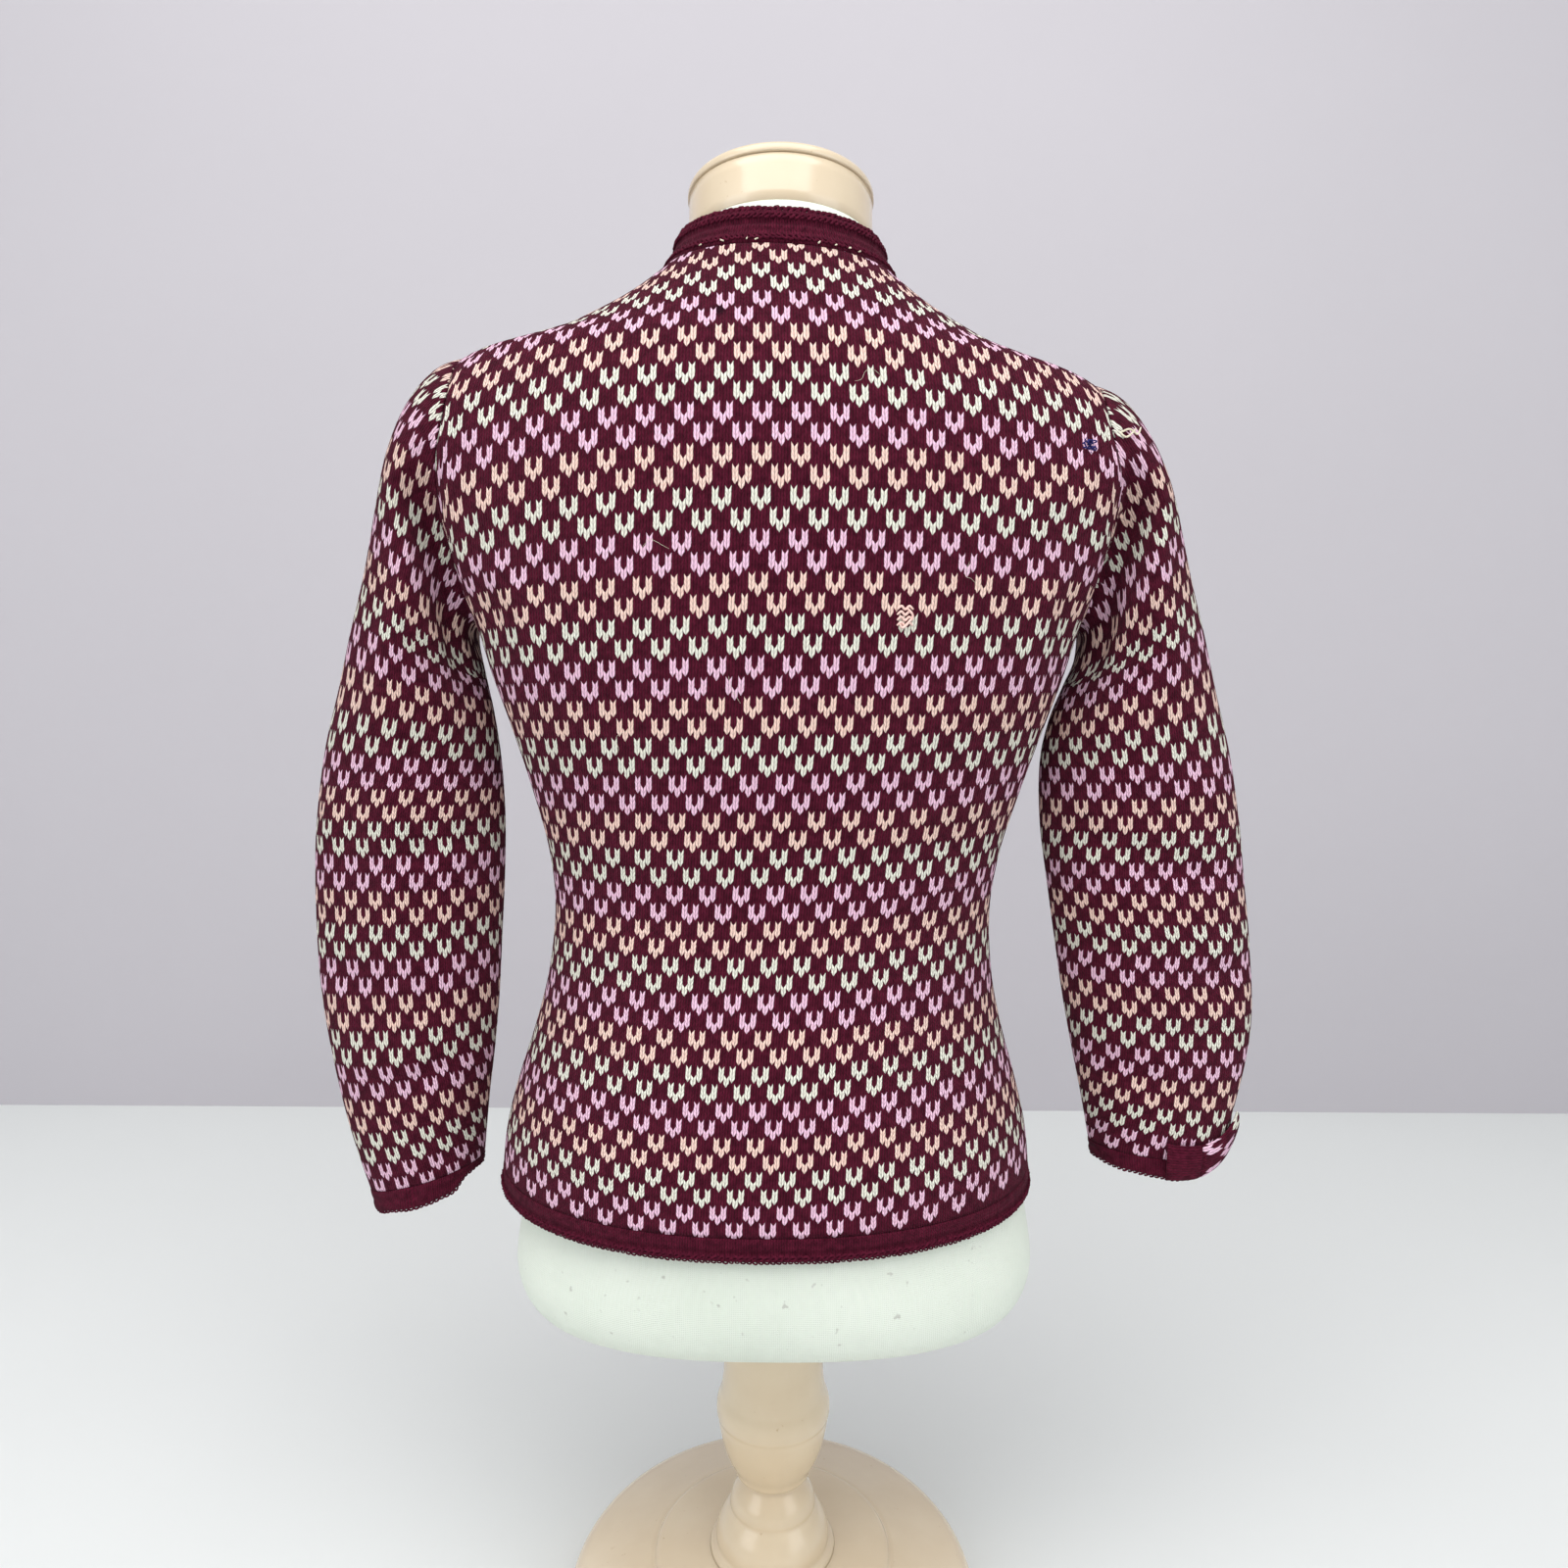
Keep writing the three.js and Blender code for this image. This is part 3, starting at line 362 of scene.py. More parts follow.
# The knitting has slid and leans: rows and stitches to add across the back, by height.
LEAN_X = np.array([-190, -140, -90, -45, 0, 45, 90, 140, 190.0])
LEAN_Z = np.array([350, 420, 490, 560, 630, 700, 760, 810, 850, 885.0])
LEAN_ROWS = np.array([
    [-4.8, -2.2, -0.5, 0.4, 0.9, 1.1, 0.8, 0.0, -1.9],
    [-3.7, -1.8, -0.6, 0.2, 0.8, 1.3, 1.6, 1.6, 0.9],
    [-2.5, -1.2, -0.4, 0.1, 0.6, 1.1, 1.6, 2.0, 2.0],
    [-1.5, -0.7, -0.2, 0.1, 0.5, 0.9, 1.5, 2.1, 2.5],
    [-0.6, -0.2, -0.1, 0.1, 0.3, 0.8, 1.4, 2.2, 3.0],
    [0.1, 0.2, 0.1, 0.1, 0.3, 0.8, 1.5, 2.6, 3.8], [0.5, 0.5, 0.2, 0.2, 0.3, 0.9, 1.8, 3.3, 5.0],
    [0.8, 0.6, 0.3, 0.2, 0.4, 1.1, 2.2, 4.1, 6.4], [0.9, 0.6, 0.3, 0.1, 0.4, 1.2, 2.6, 4.8, 7.8],
    [0.8, 0.5, 0.1, 0.0, 0.3, 1.2, 2.9, 5.6, 9.1],
])
LEAN_STITCHES = np.array([
    [-5.5, -6.2, -6.2, -5.9, -5.4, -4.8, -4.4, -4.2, -4.3],
    [-3.3, -4.3, -4.6, -4.5, -4.4, -4.3, -4.4, -4.9, -5.8],
    [-0.7, -2.1, -2.8, -3.1, -3.3, -3.6, -4.1, -5.1, -6.7],
    [1.4, -0.2, -1.1, -1.7, -2.1, -2.7, -3.4, -4.7, -6.5],
    [2.6, 1.0, 0.1, -0.5, -1.0, -1.6, -2.4, -3.6, -5.4],
    [2.7, 1.4, 0.6, 0.2, -0.1, -0.5, -1.1, -2.1, -3.5],
    [1.8, 0.9, 0.5, 0.4, 0.4, 0.3, 0.1, -0.5, -1.4],
    [0.2, -0.2, -0.1, 0.1, 0.5, 0.7, 0.9, 0.9, 0.6],
    [-1.7, -1.6, -1.1, -0.5, 0.2, 0.9, 1.4, 1.9, 2.4],
    [-3.8, -3.3, -2.4, -1.4, -0.3, 0.7, 1.7, 2.8, 3.9],
])
# The same on the back of each sleeve, by section and by angle round it.
SLEEVE_LEAN_AT = np.array([6, 9, 10.5, 12, 13.5, 15, 16, 17])
SLEEVE_LEAN_ROUND = np.array([35, 70, 105, 140.0])
SLEEVE_LEAN_ROWS = {
    "left": np.array([
        [3.0, 3.0, 3.2, 3.4], [-1.7, -1.7, -1.6, -1.5], [-0.6, -0.6, -0.5, -0.5],
        [0.4, 0.4, 0.3, 0.3], [1.1, 1.1, 1.0, 0.9], [1.7, 1.5, 1.4, 1.2], [1.9, 1.7, 1.5, 1.3],
        [2.0, 1.8, 1.5, 1.2],
    ]),
    "right": np.array([
        [2.4, 2.2, 2.0, 1.8], [-0.6, -1.1, -1.7, -2.3], [-0.5, -0.8, -1.1, -1.4],
        [-0.4, -0.4, -0.4, -0.4], [-0.3, 0.0, 0.3, 0.7], [-0.3, 0.3, 1.0, 1.8],
        [-0.4, 0.5, 1.5, 2.6], [-0.5, 0.6, 2.0, 3.5],
    ]),
}
SLEEVE_LEAN_STITCHES = {
    "left": np.array([
        [4.8, 5.4, 6.0, 6.6], [4.8, 5.4, 6.0, 6.6], [3.5, 4.0, 4.6, 5.1], [2.1, 2.6, 3.1, 3.6],
        [0.8, 1.2, 1.6, 2.0], [-0.5, -0.1, 0.2, 0.5], [-1.3, -1.0, -0.7, -0.4],
        [-2.1, -1.8, -1.5, -1.3],
    ]),
    "right": np.array([
        [-0.4, -0.5, -0.7, -0.9], [-0.4, -0.5, -0.7, -0.9], [0.2, 0.1, -0.2, -0.5],
        [0.7, 0.5, 0.1, -0.3], [0.9, 0.5, 0.0, -0.6], [0.6, 0.1, -0.6, -1.4],
        [0.2, -0.5, -1.3, -2.3], [-0.5, -1.4, -2.4, -3.5],
    ]),
}


def rows_up_to(z):
    at, rows = ROWS_AT.T
    low = rows[0] + (z - at[0]) / ROW_LOW
    high = rows[-1] + (z - at[-1]) / ROW_HIGH
    return np.where(z < at[0], low, np.where(z > at[-1], high, np.interp(z, at, rows)))


def grid_read(table, rows, columns, row, at):
    """A table read between its rows and columns."""
    i = np.clip(np.interp(row, rows, np.arange(len(rows))), 0, len(rows) - 1.001)
    j = np.clip(np.interp(at, columns, np.arange(len(columns))), 0, len(columns) - 1.001)
    a, b = i.astype(int), j.astype(int)
    f, g = i - a, j - b
    return (
        table[a, b] * (1 - f) * (1 - g)
        + table[a + 1, b] * f * (1 - g)
        + table[a, b + 1] * (1 - f) * g
        + table[a + 1, b + 1] * f * g
    )


def stitch_map(side):
    """Stitches from the middle and rows up, for the turn and height of a body point."""
    heights = np.arange(330, 941, 2.0)
    turns = np.linspace(0, math.pi / 2, 241)
    whole = turns if side == 0 else math.pi - turns
    arcs = lengths(ring_point(body, whole[None, :], heights[:, None]))

    # Over the shoulder the surface leans, so more rows lie between two heights there.
    across = np.arange(0, 226, 3.0)
    ring_depth = body.back(heights) if side == 0 else body.front(heights)
    square = body.square(heights)[:, None]
    reach = np.minimum(across[None, :] / body.half(heights)[:, None], 1) ** square
    depth = ring_depth[:, None] * (1 - reach) ** (1 / square)
    lean = np.clip(np.gradient(depth, heights, axis=0), -3, 3)
    lean = np.where(heights[:, None] < 700, 0, lean)
    extra = np.sqrt(1 + lean**2) - np.sqrt(1 + lean[:, :1] ** 2)
    extra = np.cumsum(extra * 2.0, 0)

    def read(turn, z):
        width = np.interp(z, *STITCH_AT.T)
        x = body.half(z) * np.sin(turn) ** (2 / body.square(z))
        stitches = grid_read(arcs, heights, turns, z, turn) / width
        rows = rows_up_to(z) + grid_read(extra, heights, across, z, x) / ROW
        return stitches, rows

    return read


def sleeve_stitches(name, points):
    """Stitches round from the outer line and rows up from the cuff, [section, angle]."""
    sections = np.array(SLEEVE_HEAD + SLEEVE_ARM[name], float)
    fall = (sections[:, 3] - sections[:, 1]) / np.maximum(sections[:, 2] - sections[:, 0], 1)
    fall[: len(SLEEVE_HEAD_FALL)] = SLEEVE_HEAD_FALL
    steps = 12
    fine = np.linspace(0, len(sections) - 1, (len(sections) - 1) * steps + 1)
    line = between(np.column_stack([sections[:, 2:4], fall, SLEEVE_ROWS[name]]), fine)
    line_x, line_z, line_fall, line_rows = line.T
    x, z = points[..., 0].ravel(), points[..., 2].ravel()
    heights = line_z[None, :] - (line_x[None, :] - x[:, None]) * line_fall[None, :]
    below = heights < z[:, None]
    i = np.where(below.any(1), below.argmax(1), len(fine) - 1).clip(1)
    pick = np.arange(len(x))
    high, low = heights[pick, i - 1], heights[pick, i]
    part = np.clip((high - z) / (high - low), -4, 4)
    rows = line_rows[i - 1] + part * (line_rows[i] - line_rows[i - 1])
    rows = rows.reshape(points.shape[:2])

    # Along each row, the way round from the outer line gives the stitches.
    levels = np.arange(-6, 200, 2.0)
    track = np.empty((len(levels), points.shape[1], 3))
    for j in range(points.shape[1]):
        order = np.argsort(rows[:, j])
        for k in range(3):
            track[:, j, k] = np.interp(levels, rows[order, j], points[order, j, k])
    way = lengths(track)
    way -= way[:, [points.shape[1] // 2]]
    columns = np.arange(points.shape[1], dtype=float)
    place = np.broadcast_to(columns, rows.shape)
    stitches = grid_read(way, levels, columns, rows, place) / SLEEVE_STITCH
    return stitches, rows


# ---- Meshes ----

# How far a wall's edges are drawn in towards its middle.
EDGE_SOFT = 0.4


def mesh_object(name, points, faces, finish, corner_uv=None):
    """A mesh in metres from points in millimetres and rows of corner numbers."""
    mesh = bpy.data.meshes.new(name)
    mesh.vertices.add(len(points))
    mesh.vertices.foreach_set("co", (np.asarray(points) * MM).astype(np.float32).ravel())
    sizes = np.array([len(face) for face in faces])
    mesh.loops.add(int(sizes.sum()))
    mesh.loops.foreach_set("vertex_index", np.concatenate(faces).astype(np.int32))
    mesh.polygons.add(len(faces))
    starts = np.concatenate([[0], np.cumsum(sizes)[:-1]])
    mesh.polygons.foreach_set("loop_start", starts.astype(np.int32))
    if corner_uv is not None:
        layer = mesh.uv_layers.new(name="stitches")
        layer.data.foreach_set("uv", corner_uv.astype(np.float32).ravel())
    mesh.update(calc_edges=True)
    mesh.validate(clean_customdata=False)
    mesh.polygons.foreach_set("use_smooth", [True] * len(mesh.polygons))
    for material in finish:
        mesh.materials.append(material)
    # A solid's node already has its plain name.
    title = f"{name}_shown" if name in bpy.data.objects else name
    made = bpy.data.objects.new(title, mesh)
    bpy.context.scene.collection.objects.link(made)
    return made


def cloth_wall(name, outer, inner, stitches, finish, closed=False):
    """A closed wall between two grids of points, [row, column], with softly rounded edges.
    stitches gives (u, v) for each grid point; on a closed tube it has one more column."""
    rows, columns = outer.shape[:2]
    middle = (outer + inner) / 2
    outer, inner = outer.copy(), inner.copy()
    edges = [(0, slice(None)), (-1, slice(None))]
    if not closed:
        edges += [(slice(None), 0), (slice(None), -1)]
    for edge in edges:
        outer[edge] += EDGE_SOFT * (middle[edge] - outer[edge])
        inner[edge] += EDGE_SOFT * (middle[edge] - inner[edge])
    points = [outer.reshape(-1, 3), inner.reshape(-1, 3)]
    spans = columns if closed else columns - 1
    row, col = np.meshgrid(np.arange(rows - 1), np.arange(spans), indexing="ij")
    row, col = row.ravel(), col.ravel()

    def index(side, r, c):
        return side * rows * columns + r * columns + c % columns

    corners = [(row, col), (row, col + 1), (row + 1, col + 1), (row + 1, col)]
    faces, uv = [], []
    for side, order in enumerate((corners, corners[::-1])):
        faces.append(np.stack([index(side, r, c) for r, c in order], 1))
        uv.append(np.stack([stitches[r, c] for r, c in order], 1))
    slots = [np.zeros(len(row)), np.ones(len(row))]
    total = 2 * rows * columns

    # The rims pass through the middle of the wall.
    low = [(0, c) for c in range(spans + 1)]
    high = [(rows - 1, c) for c in range(spans, -1, -1)]
    rims = [low, high]
    if not closed:
        down = [(r, 0) for r in range(rows - 1, -1, -1)]
        up = [(r, columns - 1) for r in range(rows)]
        rims = [low[:-1] + up[:-1] + high[:-1] + down]
    for rim in rims:
        r, c = np.array(rim).T
        points.append(middle[r[:-1], c[:-1] % columns])
        n = len(rim) - 1
        mid = total + np.arange(n + 1) % n
        total += n
        out, inn = index(0, r, c), index(1, r, c)
        faces.append(np.stack([out[1:], out[:-1], mid[:-1], mid[1:]], 1))
        faces.append(np.stack([mid[1:], mid[:-1], inn[:-1], inn[1:]], 1))
        here = stitches[r, c]
        uv += [np.stack([here[1:], here[:-1], here[:-1], here[1:]], 1)] * 2
        slots.append(np.zeros(2 * n))
    points, faces, uv = np.concatenate(points), np.concatenate(faces), np.concatenate(uv)
    a, b, c = (points[faces[:, k]] for k in range(3))
    if (a * np.cross(b, c)).sum() < 0:
        faces, uv = faces[:, ::-1], uv[:, ::-1]
    made = mesh_object(name, points, faces, finish, uv.reshape(-1, 2))
    slots = np.concatenate(slots).astype(np.int32)
    made.data.polygons.foreach_set("material_index", slots)
    return made


def dressed(piece, slot, *nodes):
    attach(piece, "root")
    if nodes:
        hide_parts(*nodes)
    return piece


# ---- Materials ----


def srgb(red, green, blue):
    """A colour given as 0 to 255 on a screen, as the shader's light values."""
    values = np.array([red, green, blue]) / 255
    light = np.where(values <= 0.04045, values / 12.92, ((values + 0.055) / 1.055) ** 2.4)
    return tuple(float(v) for v in light) + (1.0,)


LILAC, CREAM_GREEN, PEACH = srgb(250, 208, 234), srgb(242, 243, 230), srgb(255, 222, 210)


def put(tree, socket, value):
    if isinstance(value, bpy.types.NodeSocket):
        tree.links.new(value, socket)
    else:
        socket.default_value = value


def add_node(tree, kind, inputs=None, **settings):
    """A new node; inputs are values or other nodes' outputs, by the socket's name or number."""
    node = tree.nodes.new(kind)
    for key, value in settings.items():
        setattr(node, key, value)
    for key, value in (inputs or {}).items():
        put(tree, node.inputs[key], value)
    return node


class Shader:
    """A material and short ways to add its nodes."""

    def __init__(self, name, **sockets):
        self.material = bpy.data.materials.new(name)
        self.material.use_nodes = True
        self.tree = self.material.node_tree
        self.tree.nodes.clear()
        self.surface = self.add("BsdfPrincipled")
        self.add("OutputMaterial", {0: self.surface.outputs[0]})
        self.set(**sockets)

    def add(self, kind, inputs=None, **settings):
        return add_node(self.tree, "ShaderNode" + kind, inputs, **settings)

    def set(self, **sockets):
        for name, value in sockets.items():
            title = name.replace("_", " ").title().replace("Ior", "IOR")
            put(self.tree, self.surface.inputs[title], value)

    def math(self, kind, *values):
        return self.add("Math", dict(enumerate(values)), operation=kind).outputs[0]

    def vector(self, kind, *values):
        return self.add("VectorMath", dict(enumerate(values)), operation=kind).outputs[0]

    def mix(self, share, first, second, kind="MIX"):
        given = {0: share, 6: first, 7: second}
        return self.add("Mix", given, data_type="RGBA", blend_type=kind).outputs[2]

    def place(self):
        return self.add("TexCoord").outputs["Object"]

    def noise(self, scale, detail=2.0, output="Fac"):
        given = {"Scale": scale, "Detail": detail, "Vector": self.place()}
        return self.add("TexNoise", given).outputs[output]

    def ramp(self, value, stops, kind="LINEAR"):
        node = self.add("ValToRGB", {0: value})
        node.color_ramp.interpolation = kind
        items = node.color_ramp.elements
        while len(items) < len(stops):
            items.new(0.5)
        for item, (at, colour) in zip(items, stops):
            item.position = at
            item.color = colour
        return node.outputs[0]

    def span(self, value, low, high, to_low=0.0, to_high=1.0):
        given = dict(enumerate((value, low, high, to_low, to_high)))
        return self.add("MapRange", given).outputs[0]

    def bump(self, height, distance, strength=1.0):
        given = {"Strength": strength, "Distance": distance, "Height": height}
        return self.add("Bump", given).outputs[0]


def stitches_of(shader, slant, wander=0.12):
    """The column and row of the stitch a point lies in, and the relief of its two legs."""
    do = shader.math
    at = shader.add("UVMap", uv_map="stitches").outputs[0]
    shake = shader.vector("SUBTRACT", shader.noise(420, 2, "Color"), (0.5, 0.5, 0.5))
    shake = shader.vector("MULTIPLY", shake, (wander * 2, wander * 3, 0))
    u, v, _ = shader.add("SeparateXYZ", {0: shader.vector("ADD", at, shake)}).outputs
    column = do("FLOOR", u)
    away = do("MULTIPLY", do("SUBTRACT", do("SUBTRACT", u, column), 0.5), 2)
    away = do("ABSOLUTE", away)
    lifted = do("SUBTRACT", v, do("MULTIPLY", away, slant))
    row = do("FLOOR", lifted)
    along = do("SUBTRACT", lifted, row)
    across = do("SUBTRACT", do("MULTIPLY", away, 2), 1)
    leg = do("SUBTRACT", 1, do("POWER", do("ABSOLUTE", across), 2.2))
    end = do("ABSOLUTE", do("SUBTRACT", do("MULTIPLY", along, 2), 1))
    end = do("SUBTRACT", 1, do("POWER", end, 4))
    relief = do("SQRT", do("MAXIMUM", leg, 0))
    return column, row, do("MULTIPLY", relief, shader.span(end, 0, 1, 0.45, 1))


def chart_of(shader, column, row):
    """1 where the chart has a coloured stitch, and the colour it has."""
    do = shader.math
    band = do("FLOOR", do("DIVIDE", row, 4))
    step = do("SUBTRACT", row, do("MULTIPLY", band, 4))
    odd = do("FLOORED_MODULO", band, 2)
    place = do("FLOORED_MODULO", do("ADD", column, do("MULTIPLY", odd, 3)), 6)
    middle = do("COMPARE", place, 1, 0.3)
    foot = do("MULTIPLY", do("LESS_THAN", step, 0.5), middle)
    full = do("COMPARE", step, 1, 0.3)
    arms = do("MULTIPLY", do("GREATER_THAN", step, 1.5), do("SUBTRACT", 1, middle))
    shown = do("ADD", do("ADD", foot, full), arms)
    shown = do("MULTIPLY", shown, do("LESS_THAN", place, 2.5))
    shown = do("MULTIPLY", shown, do("GREATER_THAN", row, -0.5))
    turn = do("FLOORED_MODULO", do("FLOOR", do("DIVIDE", band, 2)), 3)
    tones = [(0, LILAC), (1 / 3, CREAM_GREEN), (2 / 3, PEACH)]
    return shown, shader.ramp(do("DIVIDE", do("ADD", turn, 0.5), 3), tones, "CONSTANT")


# A small dark spot on the back, under the neck.
DARK_SPOT = (0.0325, 0.0853, 0.8505)


def knit(name, charted=True, slant=0.88, relief_mm=1.1):
    shader = Shader(name, roughness=0.92, sheen_weight=0.04, sheen_roughness=0.4)
    shader.set(sheen_tint=(1, 0.7, 0.8, 1), specular_ior_level=0.06)
    column, row, relief = stitches_of(shader, slant)
    yarn = shader.noise(260, 3)
    colour = shader.ramp(yarn, [(0.3, srgb(66, 14, 32)), (0.7, srgb(94, 26, 48))])
    if charted:
        shown, light = chart_of(shader, column, row)
        gap = shader.add("VectorMath", {0: shader.place(), 1: DARK_SPOT}, operation="DISTANCE")
        clear = shader.span(gap.outputs["Value"], 0.0022, 0.005, 0.0, 1)
        ground = shader.mix(clear, srgb(44, 8, 24), colour)
        light = shader.mix(shader.span(yarn, 0.35, 0.7), light, srgb(255, 250, 248), "MULTIPLY")
        colour = shader.mix(shown, ground, light)
    # Painted shade: the colour is darkened between the stitches' legs and at their ends, where the
    # relief is low.
    painted_gap_shade = shader.span(relief, 0.25, 0.8, 0.66, 1)
    dark = shader.add("CombineColor", {0: painted_gap_shade, 1: painted_gap_shade, 2: painted_gap_shade}).outputs[0]
    shader.set(base_color=shader.mix(1.0, colour, dark, "MULTIPLY"))
    fuzz = shader.math("MULTIPLY", shader.noise(1500, 2), 0.25)
    shader.set(normal=shader.bump(shader.math("ADD", relief, fuzz), relief_mm * MM))
    return shader.material


def knit_inside(name):
    """The reverse: purl bumps, with the unused yarn carried across in short floats."""
    shader = Shader(name, roughness=0.95, sheen_weight=0.2)
    column, row, relief = stitches_of(shader, 0.15, 0.2)
    shown, light = chart_of(shader, column, row)
    strand = shader.math("MULTIPLY", shader.math("SUBTRACT", 1, shown), relief)
    strand = shader.math("GREATER_THAN", strand, 0.8)
    colour = shader.mix(strand, srgb(74, 26, 44), light)
    colour = shader.mix(shader.noise(300, 2), colour, srgb(120, 80, 90), "SOFT_LIGHT")
    shader.set(base_color=colour, normal=shader.bump(relief, 0.8 * MM))
    return shader.material


def linen(name):
    shader = Shader(name, roughness=0.85, sheen_weight=0.1, specular_ior_level=0.2)
    at = shader.place()
    weave = []
    for axis, turns in (("Z", 900), ("X", 850)):
        given = {"Scale": turns / 3.2, "Distortion": 1.6, "Detail": 2, "Vector": at}
        wave = shader.add("TexWave", given, wave_type="BANDS", bands_direction=axis)
        weave.append(wave.outputs["Fac"])
    cloth = shader.math("MULTIPLY", shader.math("ADD", *weave), 0.5)
    tone = shader.ramp(shader.noise(9, 4), [(0.3, srgb(218, 227, 215)), (0.7, srgb(229, 236, 226))])
    tone = shader.mix(shader.math("MULTIPLY", cloth, 0.12), tone, srgb(204, 204, 194))
    lint = shader.ramp(shader.noise(150, 2), [(0.24, srgb(196, 190, 190)), (0.3, (1, 1, 1, 1))])
    tone = shader.mix(0.6, tone, lint, "MULTIPLY")
    shader.set(base_color=tone, normal=shader.bump(cloth, 0.25 * MM))
    return shader.material


def lacquer(name, tone, shaded, roughness=0.22):
    """Glossy cream paint on turned wood, a little uneven and yellowed."""
    shader = Shader(name, roughness=roughness, coat_weight=0.4, coat_roughness=0.12)
    mottled = shader.ramp(shader.noise(14, 5), [(0.32, shaded), (0.68, tone)])
    specks = shader.ramp(shader.noise(210, 3), [(0.22, srgb(206, 184, 152)), (0.29, (1, 1, 1, 1))])
    shader.set(base_color=shader.mix(0.5, mottled, specks, "MULTIPLY"))
    shader.set(normal=shader.bump(shader.noise(55, 3), 0.25 * MM, 0.4))
    return shader.material


def plastic(name):
    shader = Shader(name, roughness=0.3, coat_weight=0.3)
    tone = shader.ramp(shader.noise(160, 4), [(0.3, srgb(70, 24, 42)), (0.7, srgb(104, 40, 64))])
    shader.set(base_color=tone, normal=shader.bump(shader.noise(90, 2), 0.1 * MM, 0.5))
    return shader.material


def yarn(name, tone, deep):
    shader = Shader(name, roughness=0.9, specular_ior_level=0.1)
    shader.set(base_color=shader.ramp(shader.noise(500, 3), [(0.3, deep), (0.7, tone)]))
    shader.set(normal=shader.bump(shader.noise(900, 2), 0.3 * MM))
    return shader.material


PATTERNED = knit("patterned_knit")
INSIDE = knit_inside("patterned_knit_inside")
PLAIN = knit("plain_knit", charted=False, slant=0.7, relief_mm=0.9)
LINEN = linen("form_linen")
CREAM = lacquer("cream_lacquer", srgb(222, 206, 180), srgb(212, 193, 164))
BUTTON = plastic("button_plastic")
BURGUNDY_YARN = yarn("burgundy_yarn", srgb(92, 24, 46), srgb(56, 10, 28))
PEACH_YARN = yarn("peach_yarn", srgb(248, 216, 206), srgb(228, 190, 182))
CREAM_YARN = yarn("cream_yarn", srgb(238, 232, 214), srgb(206, 196, 172))
INDIGO_YARN = yarn("indigo_yarn", srgb(58, 56, 120), srgb(26, 26, 70))


# ---- The knitted pieces ----

# The spacing of the walls' points, of the order of one stitch.
GRID = 2.7


def creases(marks, across, along):
    """Soft troughs (+) and ridges (-) by strokes: (points, width, depth), tapering at both ends."""
    total = np.zeros(np.shape(across))
    for path, width, depth in marks:
        path = np.array(path, float)
        long = lengths(path)
        best = np.full(np.shape(across), 1e9)
        share = np.zeros(np.shape(across))
        for i in range(len(path) - 1):
            (ax, az), (bx, bz) = path[i], path[i + 1]
            t = ((across - ax) * (bx - ax) + (along - az) * (bz - az)) / (
                (bx - ax) ** 2 + (bz - az) ** 2
            )
            t = np.clip(t, 0, 1)
            far = np.hypot(across - ax - t * (bx - ax), along - az - t * (bz - az))
            nearer = far < best
            best = np.where(nearer, far, best)
            share = np.where(nearer, (long[i] + t * (long[i + 1] - long[i])) / long[-1], share)
        fade = np.sin(np.pi * np.clip(share, 0.02, 0.98)) ** 0.7
        total += depth * fade * np.exp(-((best / width) ** 2))
    return total


# Across is the wearer's left (+), then height. Widths and depths in millimetres.
BACK_MARKS = [
    ([(190, 776), (186, 740), (180, 708), (174, 676)], 8, -2.6),
    ([(-192, 790), (-186, 746), (-180, 710), (-172, 668)], 8, -2.8),
    ([(183, 716), (168, 690), (158, 655)], 9, 1.2),
    ([(172, 722), (150, 700), (138, 668)], 10, -2.4),
    ([(-184, 722), (-172, 694), (-163, 650)], 9, 1.2),
    ([(-172, 730), (-154, 704), (-144, 660)], 10, -2.8),
    ([(188, 770), (170, 748), (150, 738)], 11, -1.6),
    ([(-190, 790), (-168, 760), (-146, 748)], 12, -1.8),
    ([(130, 560), (60, 548), (10, 552)], 14, -1.2),
    ([(-128, 538), (-70, 528), (-20, 534)], 13, -1.3),
    ([(120, 500), (70, 492), (30, 498)], 10, -0.9),
    ([(-126, 590), (-90, 574), (-50, 572)], 13, -1.0),
    ([(-60, 812), (-110, 804), (-150, 806)], 12, -0.9),
    ([(40, 820), (96, 812), (140, 818)], 13, -0.8),
    ([(-150, 372), (-90, 362), (-40, 364)], 9, -1.0),
    ([(140, 380), (84, 368), (20, 370)], 9, -0.9),
]
FRONT_MARKS = [
    ([(180, 720), (160, 694), (140, 668)], 10, 1.4),
    ([(170, 734), (146, 706), (124, 690)], 11, -2.6),
    ([(118, 560), (70, 548), (34, 552)], 13, -1.6), ([(126, 516), (84, 508), (40, 514)], 11, -1.3),
    ([(150, 620), (120, 590), (90, 574)], 14, -1.5),
    ([(90, 800), (120, 790), (150, 796)], 12, -1.2),
    ([(150, 384), (96, 368), (40, 372)], 10, -1.2),
]


def seam_swell(points):
    """High on the armhole body and sleeve run on in one round, with no dip at the seam."""
    across, depth, z = np.abs(points[..., 0]), points[..., 1], points[..., 2]
    high = ease(z, 742, 785) * (1 - ease(z, 824, 840)) * np.clip(np.abs(depth) / 30, 0, 1)
    swell = 6.5 * high * np.exp(-(((across - armhole_x(z)) / 20) ** 2))
    out = points.copy()
    out[..., 1] += np.sign(depth) * swell
    return out


